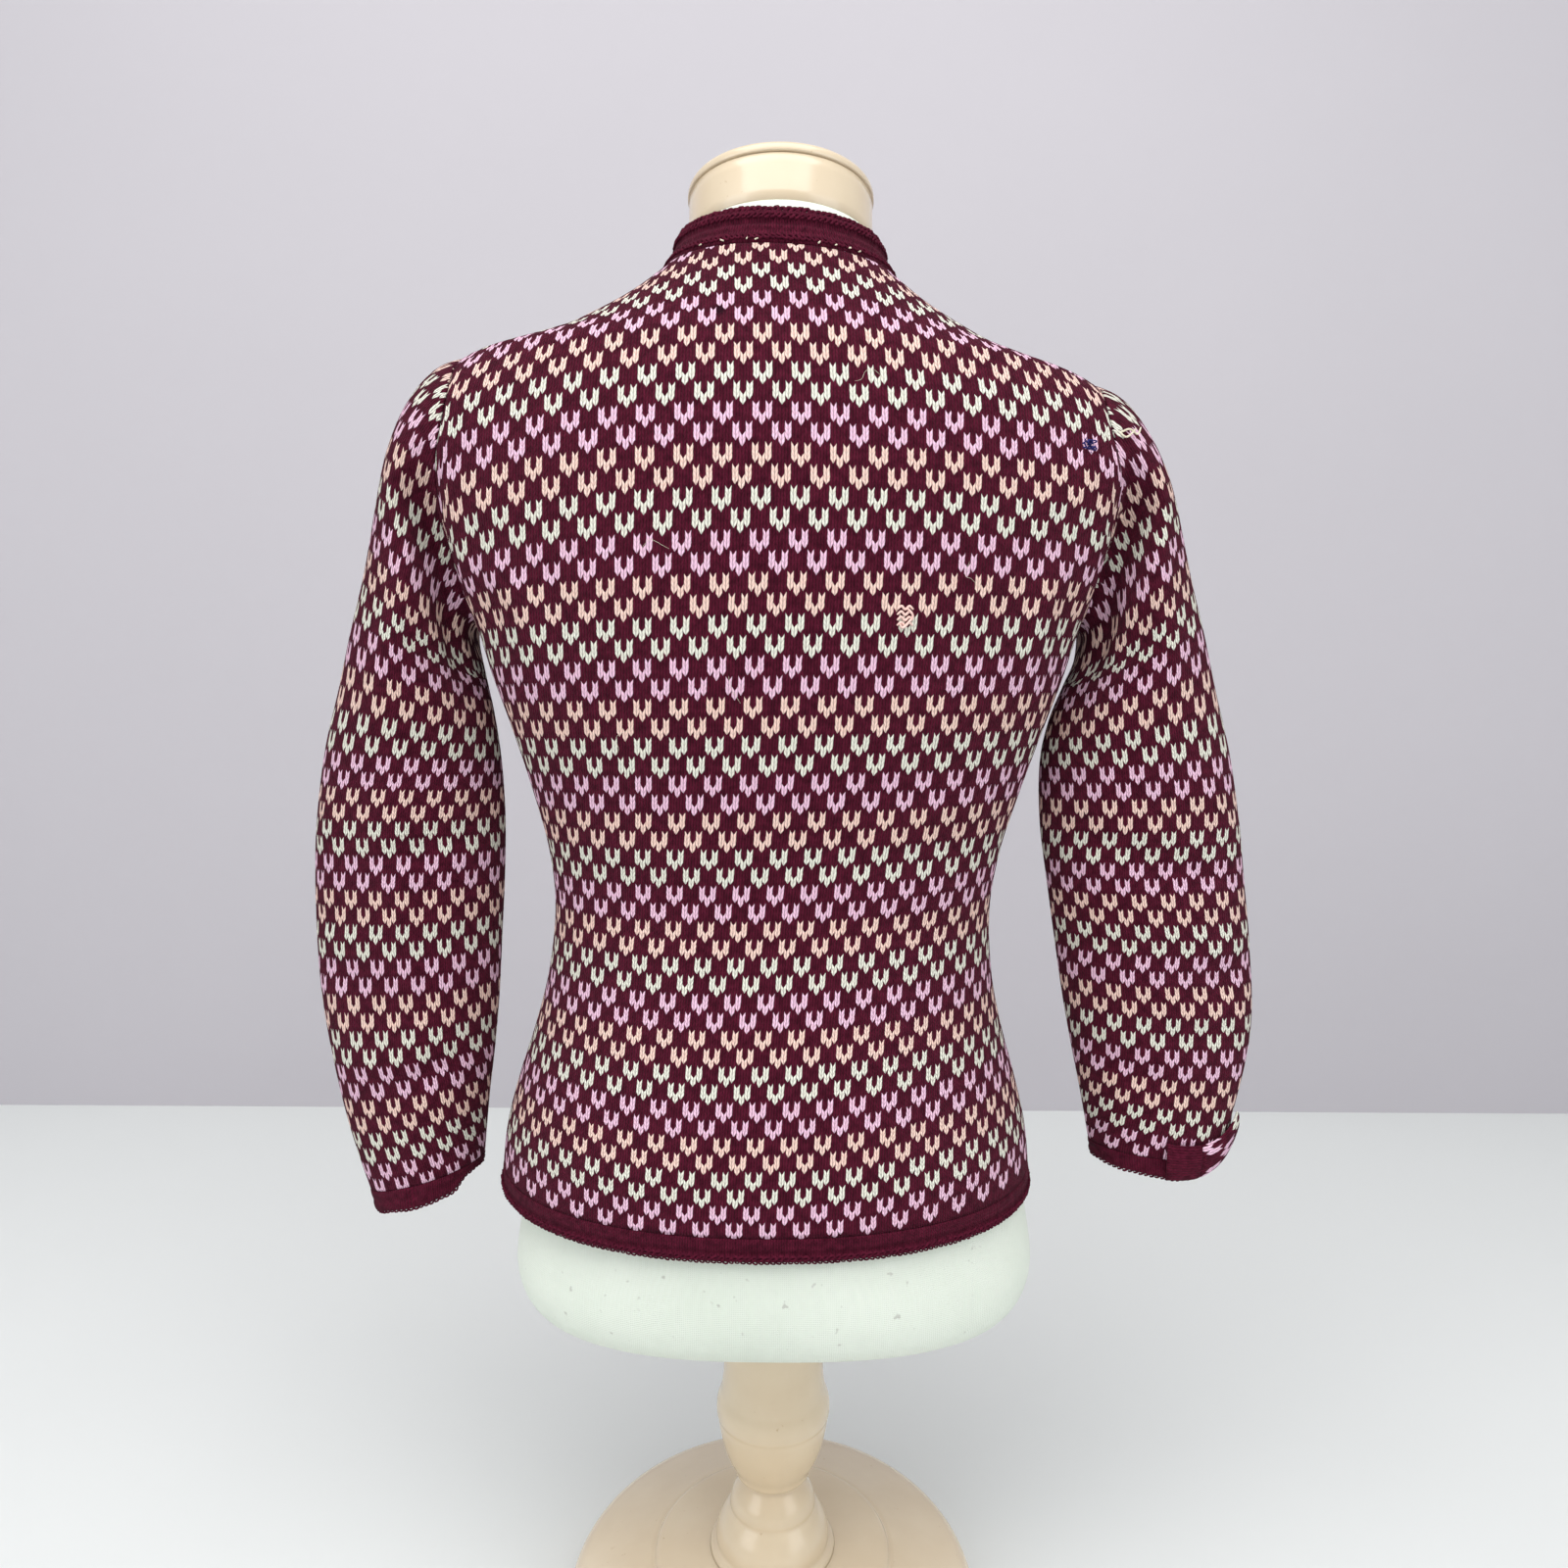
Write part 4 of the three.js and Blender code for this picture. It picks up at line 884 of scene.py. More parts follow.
def panel(name, side, material=PATTERNED):
    low = HEM_Z + HEM_BAND + SEAM
    heights = np.concatenate(
        [
            np.linspace(low, UNDERARM_Z, round((UNDERARM_Z - low) / GRID) + 1)[:-1],
            np.linspace(UNDERARM_Z, SHOULDER_Z, 58)[:-1],
            np.linspace(SHOULDER_Z, NECK_SIDE_Z, 36),
        ]
    )
    shares = np.linspace(-1, 1, 177) if side == 0 else np.linspace(0, 1, 89)
    turn, z = panel_place(shares[None, :], heights[:, None], side)
    around = full_turn(turn, shares[None, :], side)
    spot = ring_point(body, around, z)
    if side == 0:
        dent = creases(BACK_MARKS, spot[..., 0], z)
    else:
        marks = FRONT_MARKS if side > 0 else FRONT_MARKS[::-1]
        shift = 0 if side > 0 else 9
        dent = creases(marks, spot[..., 0] * side, z + shift)
    dent = dent * ease(z, low, low + 14) * (1 - ease(z, 850, 880))
    way = outward(body, around, z)
    outer = crooked(seam_swell(spot - way * dent[..., None]))
    inner = crooked(seam_swell(spot - way * (KNIT + dent)[..., None]))
    u, v = stitch_map(side)(turn, z)
    u = u * (np.sign(shares)[None, :] if side == 0 else side)
    if side == 0:
        u = u + SET_OFF + grid_read(LEAN_STITCHES, LEAN_Z, LEAN_X, z, spot[..., 0])
        v = v + grid_read(LEAN_ROWS, LEAN_Z, LEAN_X, z, spot[..., 0])
    made = cloth_wall(name, outer, inner, np.stack([u, v], -1), (material, INSIDE))
    return dressed(made, "patterned_knit", name)


# Angle round the sleeve in degrees (0 under the arm, 90 behind, 180 outside), then height.
SLEEVE_MARKS = {
    "left": [
        ([(102, 768), (90, 750), (78, 734), (64, 716), (48, 697), (36, 676), (30, 645)], 10, 17.0),
        ([(92, 722), (92, 690), (98, 650), (98, 600)], 9, -3.4),
        ([(96, 600), (92, 540), (80, 480)], 9, -2.4),
        ([(120, 590), (132, 560), (150, 548)], 10, -1.8),
        ([(110, 520), (130, 500), (160, 505)], 10, 1.6),
        ([(60, 455), (90, 440), (130, 446)], 11, 1.6),
        ([(70, 420), (100, 408), (140, 412)], 9, -1.5),
        ([(250, 620), (280, 590), (300, 560)], 12, -2.2),
        ([(230, 500), (262, 486), (300, 494)], 11, 1.8),
        ([(240, 430), (270, 420), (310, 424)], 10, -1.6),
    ],
    "right": [
        ([(108, 788), (98, 768), (90, 752), (76, 734), (64, 717), (46, 698), (34, 676),
          (28, 645)], 10, 17.0),
        ([(112, 772), (100, 736), (96, 700), (104, 640)], 9, -3.6),
        ([(108, 600), (126, 570), (150, 560)], 10, -1.8),
        ([(60, 540), (88, 530), (130, 538)], 11, 1.6),
        ([(78, 500), (110, 486), (150, 492)], 10, -1.6),
        ([(60, 440), (96, 428), (128, 432)], 9, 1.5),
        ([(256, 640), (284, 606), (304, 570)], 12, -2.2),
        ([(232, 520), (262, 504), (296, 510)], 11, 1.8),
        ([(238, 452), (268, 440), (306, 446)], 10, -1.6),
    ],
}
SLEEVE_SIDES = 104
SLEEVE_ANGLES = np.arange(SLEEVE_SIDES) * 360 / SLEEVE_SIDES
# About how far a degree round the sleeve reaches.
MM_PER_DEGREE = 0.8
# The sections from which the sleeves are lengthened, and the right one's corner is folded up.
LONGER_FROM, FOLDED_FROM = 15, 13.2


def section_walls(sections, insets, marks, fade):
    """Grids of a sleeve's points at several depths in the wall, [depth][section, angle]."""
    round_ = np.arange(SLEEVE_SIDES) * 2 * math.pi / SLEEVE_SIDES
    flat = section_points(sections, round_)
    in_x, in_z, out_x, out_z = sections[:, :4].T
    level = np.zeros(len(sections))
    centre = np.stack([(in_x + out_x) / 2, level, (in_z + out_z) / 2], -1)
    way = unit(np.stack([out_x - in_x, level, out_z - in_z], -1))
    bulge = (armhole_x(flat[..., 2]) - ARMHOLE_X) * np.clip(sections[:, 6, None], 0, 1)
    plain = flat.copy()
    plain[..., 0] -= bulge
    along = ((plain - centre[:, None]) * way[:, None]).sum(-1)
    y = flat[..., 1]
    d_along = np.roll(along, -1, 1) - np.roll(along, 1, 1)
    d_y = np.roll(y, -1, 1) - np.roll(y, 1, 1)
    length = np.maximum(np.hypot(d_along, d_y), 1e-3)
    arcs = np.broadcast_to(np.degrees(round_)[None, :], along.shape) * MM_PER_DEGREE
    marks = [([(a * MM_PER_DEGREE, z) for a, z in path], w, d) for path, w, d in marks]
    dent = creases(marks, arcs, flat[..., 2]) * fade[:, None]
    grids = []
    for inset in insets:
        deep = dent + inset
        points = centre[:, None] + way[:, None] * (along + deep * d_y / length)[..., None]
        points[..., 0] += bulge
        points[..., 1] = y - deep * d_along / length
        grids.append(points)
    return grids


def sleeve(name, sign):
    table = np.array(SLEEVE_HEAD + SLEEVE_ARM[name], float)
    last = len(table) - 1
    places = [np.array([0.0])]
    for i in range(last):
        long = max(math.hypot(*(table[i + 1, k : k + 2] - table[i, k : k + 2])) for k in (0, 2))
        count = max(2, math.ceil(long / GRID))
        places.append(i + np.arange(1, count + 1) / count)
    at = np.concatenate(places)
    sections = between(table, at)
    longer = SLEEVE_LONGER[name] * end_way(name)
    sections[:, :4] += longer * ease(at, LONGER_FROM, last)[:, None]
    fade = ease(at, 0, 0.9) * ease(last - at, 0, 0.6)
    outer, inner = section_walls(sections, (0, KNIT), SLEEVE_MARKS[name], fade)
    u, v = sleeve_stitches(name, np.concatenate([outer, outer[:, :1]], 1))
    corner = ease(at, FOLDED_FROM, last)[:, None] * corner_rise(name)
    for grid in (outer, inner):
        grid[..., 2] += corner
    v = v + np.concatenate([corner, corner[:, :1]], 1) / ROW
    angle = np.broadcast_to(np.arange(SLEEVE_SIDES + 1) * 360 / SLEEVE_SIDES, u.shape)
    row = np.broadcast_to(at[:, None], u.shape)
    lean = [
        grid_read(table[name], SLEEVE_LEAN_AT, SLEEVE_LEAN_ROUND, row, angle)
        for table in (SLEEVE_LEAN_STITCHES, SLEEVE_LEAN_ROWS)
    ]
    stitches = np.stack([u + SET_OFF + lean[0], v + lean[1]], -1)
    outer, inner = (on_side(seam_swell(grid), sign) for grid in (outer, inner))
    title = f"sleeve_{name}"
    made = cloth_wall(title, outer, inner, stitches, (PATTERNED, INSIDE), closed=True)
    SLEEVE_SKINS[name] = outer
    return dressed(made, "patterned_knit", title)


# How far each sleeve hangs below the plain length, and the height of its cuff.
SLEEVE_LONGER = {"left": 5.5, "right": 1.5}
CUFF_HIGH = {"left": 12.5, "right": 10.5}
# The sleeves' outer points and the cuffs' rims, for the pieces worked on them later.
SLEEVE_SKINS, CUFF_RIMS = {}, {}


def end_way(name):
    """The unit step down the arm at a sleeve's end, for its inner and outer points."""
    last, before = (np.array(SLEEVE_ARM[name][k][:4], float) for k in (-1, -2))
    return (last - before) / math.hypot(last[1] - before[1], last[0] - before[0])


def corner_rise(name):
    """How far the end of the right sleeve is folded up at its outer corner, at each angle."""
    high = 38.0 if name == "right" else 0.0
    return high * ease(SLEEVE_ANGLES, 92, 190) * (1 - ease(SLEEVE_ANGLES, 190, 270))


def edge_rise(name):
    """How far a cuff's edge rises at each angle; the left one is nipped up under the arm."""
    high = 9.0 if name == "left" else 0.0
    folded = np.minimum(SLEEVE_ANGLES, 360 - SLEEVE_ANGLES)
    wave = 0.7 * np.sin(np.radians(SLEEVE_ANGLES * 3 + 40))
    wave += 0.5 * np.sin(np.radians(SLEEVE_ANGLES * 7))
    return high * (1 - ease(folded, 34, 54)) + wave


def cuff(name, sign):
    way = end_way(name)
    last = np.array(SLEEVE_ARM[name][-1], float)
    last[:4] += SLEEVE_LONGER[name] * way
    down = np.array([0, 0.06, 0.16, 0.28, 0.4, 0.5, 0.6, 0.7, 0.8, 0.88, 0.95, 1])
    out = np.interp(down, [0, 0.25, 0.5, 0.72, 0.9, 1], [0, 0.5, 0.1, 0.9, 0.8, 0.3])
    step = np.append(way, [0, 0, 0])
    sections = np.array([last + step * (SEAM + d * CUFF_HIGH[name]) for d in down])
    outer, inner = section_walls(sections, [0, BAND_WALL], [], np.zeros(len(down)))
    outer = outer + unit(outer - inner) * out[:, None, None]
    for grid in (outer, inner):
        grid[..., 2] += corner_rise(name)
        grid[..., 2] += edge_rise(name) * (down[:, None] ** 0.8) * 0.8
    outer, inner = on_side(outer, sign), on_side(inner, sign)
    u = np.broadcast_to(np.arange(SLEEVE_SIDES + 1) * 0.8, (len(down), SLEEVE_SIDES + 1))
    v = np.broadcast_to(-down[:, None] * 5, u.shape)
    title = f"cuff_{name}"
    made = cloth_wall(title, outer, inner, np.stack([u, v], -1), (PLAIN, PLAIN), closed=True)
    CUFF_RIMS[name] = outer[-1], inner[-1]
    return dressed(made, "plain_knit", title)


def band_round(name, ups, outs, place_at, count):
    """A band round the body from one front band, across the back, to the other."""
    front = np.linspace(0, 1, count // 2 + 1)
    behind = np.linspace(1, -1, count + 1)[1:-1]
    share = np.concatenate([front, behind, front[::-1]])
    side = np.repeat([1, 0, -1], [len(front), len(behind), len(front)])
    outer, inner = [], []
    for up, out in zip(ups, outs):
        around, z = np.empty(len(share)), np.empty(len(share))
        for part in (1, 0, -1):
            here = side == part
            turn, height = place_at(share[here], part, up)
            around[here] = full_turn(turn, share[here], part)
            z[here] = height
        outer.append(inset_point(body, around, z, np.full(len(share), -out)))
        inner.append(inset_point(body, around, z, np.full(len(share), BAND_WALL)))
    outer, inner = np.array(outer), np.array(inner)
    u = np.broadcast_to(lengths(outer[-1]) / 3.0, outer.shape[:2])
    v = np.broadcast_to(np.array(ups)[:, None] * 6, u.shape)
    made = cloth_wall(name, outer, inner, np.stack([u, v], -1), (PLAIN, PLAIN))
    dressed(made, "plain_knit", name)
    return outer, inner


def hem_place(share, side, up):
    z = HEM_Z + up * HEM_BAND
    start = 0.0 if side == 0 else turn_at_x(FRONT_BAND_HALF + SEAM, z)
    return start + np.abs(share) * (math.pi / 2 - start), np.full(np.shape(share), z)


def neck_place(share, side, up):
    def point_at(lift):
        turn, z = neckline(share, side, lift)
        return ring_point(body, full_turn(turn, share, side), z)

    width = np.linalg.norm(point_at(SEAM) - point_at(SEAM + NECK_BAND), axis=-1)
    turns, heights = np.empty(len(share)), np.empty(len(share))
    for i, one in enumerate(share):
        turn, z = neckline(np.array([one]), side, SEAM + up * NECK_BAND**2 / width[i])
        turns[i], heights[i] = turn[0], z[0]
    return turns, heights


def front_band(name, from_x, to_x, out, wavy):
    across = np.linspace(from_x, to_x, 17)
    heights = np.linspace(HEM_Z, NECK_FRONT_Z + SEAM + NECK_BAND, 190)
    x, z = np.meshgrid(across, heights)
    turn = math.pi - np.sign(x) * turn_at_x(np.abs(x), z)
    ridge = 0.25 * np.cos(x * 2 * math.pi / 5.2) if wavy else 0 * x
    outer = inset_point(body, turn, z, -(out + ridge))
    inner = inset_point(body, turn, z, np.full(x.shape, -(out - BAND_WALL)))
    made = cloth_wall(name, outer, inner, np.stack([z / 3, x / 2.6], -1), (PLAIN, PLAIN))
    return dressed(made, "plain_knit", name)


for title, which in (("back", 0), ("front_left", 1), ("front_right", -1)):
    panel(title, which)
for title, sign in (("left", 1), ("right", -1)):
    sleeve(title, sign)
    cuff(title, sign)

HEM_UP = np.linspace(0, 1, 15)
HEM_OUT = np.interp(
    HEM_UP, [0, 0.1, 0.25, 0.42, 0.55, 0.7, 0.85, 1], [0.2, 0.9, 1.1, -0.4, 0.5, 0.2, 0.4, 0]
)
NECK_UP = np.linspace(0, 1, 21)
NECK_OUT = np.interp(
    NECK_UP,
    [0, 0.06, 0.16, 0.26, 0.34, 0.42, 0.5, 0.56, 0.62, 0.76, 0.88, 1],
    [-0.5, 0.3, 0.7, 0.6, 0.0, 0.6, 0.6, 0.0, -0.3, 1.1, 0.9, 0.2],
)
hem_outer, hem_inner = band_round("hem_band", HEM_UP, HEM_OUT, hem_place, 200)
neck_outer, neck_inner = band_round("neck_band", NECK_UP, NECK_OUT, neck_place, 120)
front_band("buttonhole_band", -FRONT_BAND_HALF, FRONT_BAND_HALF, FRONT_BAND_PROUD, True)
front_band("button_band", -FRONT_BAND_HALF + 1, FRONT_BAND_HALF + UNDERLAP, UNDER, False)


# ---- The dress form and its stand ----


def capped(rings, ends):
    """Points and faces through rings of points, [ring, angle], with a flat fan at each end."""
    count, sides = rings.shape[:2]
    points = np.concatenate([rings.reshape(-1, 3), ends])
    faces = []
    for i in range(count - 1):
        for j in range(sides):
            a, b = i * sides + j, i * sides + (j + 1) % sides
            faces.append([a, b, b + sides, a + sides])
    top = (count - 1) * sides
    for j in range(sides):
        k = (j + 1) % sides
        faces += [[k, j, len(points) - 2], [top + j, top + k, len(points) - 1]]
    return points, faces


def tube_solid(name, rings, finish):
    """A closed solid through rings of points, its faces turned outwards."""
    made = mesh_object(name, *capped(rings, [rings[0].mean(0), rings[-1].mean(0)]), finish)
    mesh = made.data
    volume = 0
    for face in mesh.polygons:
        a, b, c = (mesh.vertices[k].co for k in face.vertices[:3])
        volume += a.dot(b.cross(c))
    if volume < 0:
        mesh.flip_normals()
    return made


def turned(name, profile, sides, tilt=None):
    """A turned solid on the axis; profile is [radius, height] from foot to top."""
    around = np.arange(sides) * 2 * math.pi / sides
    round_ = np.stack([np.sin(around), np.cos(around), np.zeros(sides)], -1)
    rings = np.array([round_ * r + (0, 0, z) for r, z in profile])
    made = tube_solid(name, tilt(rings) if tilt else rings, (CREAM,))
    return dressed(made, "cream_lacquer", name)


def rounded(profile, times=2):
    """A profile with its corners cut softly."""
    path = [np.array(p, float) for p in profile]
    for _ in range(times):
        new = [path[0]]
        for before, point, after in zip(path, path[1:], path[2:]):
            new += [point + (before - point) * 0.22, point + (after - point) * 0.22]
        path = new + [path[-1]]
    return path


def torso():
    turns = np.arange(160) * 2 * math.pi / 160
    low = [257, 257.4, 258.2, 259.4, 261, 263, 266, 269.5, 273, 278, 284, 291, 300]
    low = np.concatenate([low, np.arange(308, 641, 8.0)])
    high = [652, 665, 678, 690, 705, 720, 735, 750, 765, 780, 793, 805, 814, 822, 828, 834, 838]
    high += [842, 846, 851, 856, 862, 867, 873, 878, 883, 888, 893, 898, 903]
    rings = [ring_point(form, turns, z) for z in low]
    ahead = np.maximum(0, -np.cos(turns))
    inset = FORM_INSET + (FORM_FRONT_INSET - FORM_INSET) * smooth(ahead)
    for z in high:
        ring = inset_point(body, turns, np.full(len(turns), float(z)), inset)
        ring[:, 0] = np.clip(ring[:, 0], -ARM_PLATE_X, ARM_PLATE_X)
        rings.append(ring)
    around = np.stack([np.sin(turns), np.cos(turns), np.zeros(len(turns))], -1) * NECK_BLOCK_R
    rings.append(lean(around[None])[0])
    made = tube_solid("form_torso", np.array(rings), (LINEN,))
    return dressed(made, "form_linen", "form_torso")


def lean(points):
    """The neck's parts lean back by its tilt about its foot."""
    cos, sin = math.cos(NECK_TILT), math.sin(NECK_TILT)
    out = points.copy()
    out[..., 1] = points[..., 1] * cos - points[..., 2] * sin
    out[..., 2] = points[..., 1] * sin + points[..., 2] * cos
    return out + NECK_BASE


torso()
BLOCK_TOP = SEAM + NECK_BLOCK_LONG
block_profile = [(0, SEAM), (NECK_BLOCK_R - 0.6, SEAM), (NECK_BLOCK_R, SEAM + 0.6)]
block_profile += [(NECK_BLOCK_R, BLOCK_TOP - 0.8), (NECK_BLOCK_R - 0.8, BLOCK_TOP), (0, BLOCK_TOP)]
turned("neck_block", rounded(block_profile, 1)[1:-1], 128, lean)
CAP_FOOT, CAP_R, CAP_THICK, CAP_ROUND = 2 * SEAM + NECK_BLOCK_LONG, NECK_BLOCK_R + 0.8, 6.5, 4.2
cap_profile = [(CAP_R - 0.7, CAP_FOOT), (CAP_R - 0.2, CAP_FOOT + 0.2), (CAP_R, CAP_FOOT + 0.7)]
for step in range(9):
    turn = step * math.pi / 16
    radius = CAP_R - CAP_ROUND + CAP_ROUND * math.cos(turn)
    cap_profile.append((radius, CAP_FOOT + CAP_THICK - CAP_ROUND + CAP_ROUND * math.sin(turn)))
for share in (0.8, 0.6, 0.4, 0.2, 0.05):
    cap_profile.append(((CAP_R - CAP_ROUND) * share, CAP_FOOT + CAP_THICK + 0.6 * (1 - share**2)))
turned("neck_cap", cap_profile, 128, lean)

BASE_PROFILE = [(134, 0), (138, 3), (140, 9), (140, 25), (138, 33), (134.5, 38), (129, 41.6)]
BASE_PROFILE += [(104, 48.6), (84, 54), (81, 53.6), (79.5, 56.6), (77, 58), (46, 58.5), (2, 58.5)]
COLUMN_PROFILE = [(43, 58.8), (42, 61.5), (38.4, 62.5), (38.7, 68), (36.8, 76), (32.2, 84)]
COLUMN_PROFILE += [(29, 87.6), (29.2, 91), (27.4, 97.6), (23, 104), (20.5, 108), (20.5, 111)]
COLUMN_PROFILE += [(24.6, 112.4), (25.6, 114.4), (26.4, 117.5), (30.4, 125), (34.6, 137)]
COLUMN_PROFILE += [(37, 150), (37.4, 154.6), (38.4, 157), (38.5, 163), (37.4, 168)]
COLUMN_PROFILE += [(35.2, 173.5), (33.6, 186), (33.4, 205), (33.4, 256.7)]
turned("stand_base", rounded(BASE_PROFILE), 160)
turned("stand_column", rounded(COLUMN_PROFILE), 112)


# ---- Buttons ----


def soft_tube(path, radius, sides):
    """Points and faces of a round tube along a path, closed at both ends."""
    path = np.asarray(path, float)
    along = unit(np.gradient(path, axis=0))
    side = unit(np.cross(along, (0.31, 0.52, 0.79)))
    up = np.cross(along, side)
    around = np.arange(sides) * 2 * math.pi / sides
    cos, sin = np.cos(around)[None, :, None], np.sin(around)[None, :, None]
    widths = np.broadcast_to(radius, len(path))[:, None, None]
    rings = path[:, None] + widths * (side[:, None] * cos + up[:, None] * sin)
    return capped(rings, path[[0, -1]])


def joined(parts):
    """Several (points, faces) as one."""
    points, faces, count = [], [], 0
    for some_points, some_faces in parts:
        points.append(some_points)
        faces += [[i + count for i in face] for face in some_faces]
        count += len(some_points)
    return np.concatenate(points), faces


def outward_mesh(name, points, faces, finish):
    """A mesh whose faces are turned outwards, part by part."""
    made = mesh_object(name, points, faces, finish)
    shape = bmesh.new()
    shape.from_mesh(made.data)
    bmesh.ops.recalc_face_normals(shape, faces=shape.faces)
    shape.to_mesh(made.data)
    shape.free()
    return made


def button(index):
    """A dished button with four holes, on the place of its node, and the thread through it."""
    node = f"button_{index}"
    points = np.array([v.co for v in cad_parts[node].data.vertices]) / MM
    centre = points.mean(0)
    axis = np.linalg.svd(points - centre)[2][2]
    axis = axis if axis[1] < 0 else -axis
    foot = centre + axis * ((points - centre) @ axis).min()
    aside = np.cross((0, 0, 1), axis)
    aside /= np.linalg.norm(aside)
    directions = np.array([aside, np.cross(axis, aside), axis])
    radii = [5.2, 6.3, 7.1, 7.5, 7.45, 7.0, 6.5, 5.9, 5.3, 4.8, 4.2]
    heights = [0, 0.1, 0.8, 1.6, 2.5, 3.2, 3.4, 3.25, 2.75, 2.35, 2.15]
    inner = np.arange(3.9, 0.1, -0.3)
    radii = np.array(radii + list(inner))
    heights = np.array(heights + [2.1] * len(inner))
    around = np.arange(56) * 2 * math.pi / 56
    x = radii[:, None] * np.cos(around)
    y = radii[:, None] * np.sin(around)
    h = np.broadcast_to(heights[:, None], x.shape).copy()
    corners = [(1.2 * a, 1.2 * b) for a, b in ((1, 1), (-1, 1), (-1, -1), (1, -1))]
    for a, b in corners:
        dip = 1.5 * np.exp(-((np.hypot(x - a, y - b) / 0.62) ** 4))
        h[8:] -= dip[8:]
    rings = foot + np.stack([x, y, h], -1) @ directions
    made = tube_solid(node + "_dished", rings, (BUTTON,))
    dressed(made, "button_plastic", node)
    threads = []
    for first, second in ((0, 2), (1, 3)):
        t = np.linspace(0, 1, 9)[:, None]
        a, b = np.array(corners[first]), np.array(corners[second])
        flat = a + (b - a) * t
        lift = 1.3 + (1.35 + 0.12 * first) * np.sin(math.pi * t) ** 0.5
        threads.append(soft_tube(foot + np.hstack([flat, lift]) @ directions, 0.28, 6))
    return threads


THREADS = [thread for index in range(1, 8) for thread in button(index)]
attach(outward_mesh("button_threads", *joined(THREADS), (BURGUNDY_YARN,)), "root")


# ---- Worked edges ----


LOOP_SIZES = ["Spacing", "Size", "Yarn", "Stretch", "Tilt", "Seed"]


def edge_tree(name):
    """Loops of yarn set along a path: each lies on the surface and leans along it."""
    tree = bpy.data.node_groups.new(name, "GeometryNodeTree")
    names = {}
    kinds = {"Geometry": "Geometry", "Seed": "Int", "Material": "Material"}
    for title in ["Geometry", *LOOP_SIZES, "Material"]:
        kind = "NodeSocket" + kinds.get(title, "Float")
        socket = tree.interface.new_socket(title, in_out="INPUT", socket_type=kind)
        names[title] = socket.identifier
    tree.interface.new_socket("Geometry", in_out="OUTPUT", socket_type="NodeSocketGeometry")
    given = tree.nodes.new("NodeGroupInput").outputs

    def add(kind, inputs=None, output=0, **settings):
        return add_node(tree, kind, inputs, **settings).outputs[output]

    def times(first, second):
        return add("ShaderNodeMath", {0: first, 1: second}, operation="MULTIPLY")

    path = add("GeometryNodeMeshToCurve", {0: given["Geometry"]})
    spacing = {"Curve": path, "Length": times(given["Spacing"], MM)}
    spots = add("GeometryNodeResampleCurve", spacing, mode="LENGTH")

    # One loop: an open ring of yarn in the plane of the cloth.
    sweep = {"Start Angle": math.radians(-150), "Sweep Angle": math.radians(300)}
    ring = add("GeometryNodeCurveArc", {"Resolution": 8, "Radius": 1.0, **sweep})
    size = times(given["Size"], MM)
    sizes = add("ShaderNodeCombineXYZ", {0: times(size, given["Stretch"]), 1: size, 2: size})
    ring = add("GeometryNodeTransform", {"Geometry": ring, "Scale": sizes})
    section = {"Resolution": 6, "Radius": times(given["Yarn"], MM)}
    section = add("GeometryNodeCurvePrimitiveCircle", section)
    loop = {"Curve": ring, "Profile Curve": section, "Fill Caps": True}
    loop = add("GeometryNodeCurveToMesh", loop)

    # Which way it faces: along the path, flat on the cloth, with a little disorder.
    align, random = "FunctionNodeAlignRotationToVector", "FunctionNodeRandomValue"
    way = add("GeometryNodeInputNamedAttribute", {"Name": "outward"}, data_type="FLOAT_VECTOR")
    turn = add(align, {"Vector": way}, axis="Z")
    tangent = add("GeometryNodeInputTangent")
    turn = add(align, {"Rotation": turn, "Vector": tangent}, axis="X", pivot_axis="Z")
    limits = {"Min": (-0.16, -0.16, -0.22), "Max": (0.16, 0.16, 0.22), "Seed": given["Seed"]}
    shake = add(random, limits, data_type="FLOAT_VECTOR")
    tilt = add("ShaderNodeCombineXYZ", {2: given["Tilt"]})
    shake = add("ShaderNodeVectorMath", {0: shake, 1: tilt}, operation="ADD")
    shake = add("FunctionNodeEulerToRotation", {0: shake})
    turn = add("FunctionNodeRotateRotation", {0: turn, 1: shake}, rotation_space="LOCAL")
    scale = add(random, {2: 0.86, 3: 1.12, "Seed": given["Seed"]}, 1, data_type="FLOAT")

    put_on = {"Points": spots, "Instance": loop, "Rotation": turn, "Scale": scale}
    loops = add("GeometryNodeInstanceOnPoints", put_on)
    loops = add("GeometryNodeRealizeInstances", {0: loops})
    loops = add("GeometryNodeSetShadeSmooth", {0: loops})
    loops = {"Geometry": loops, "Material": given["Material"]}
    add_node(tree, "NodeGroupOutput", {0: add("GeometryNodeSetMaterial", loops)})
    return tree, names


EDGES, EDGE_NAMES = edge_tree("worked_edge")


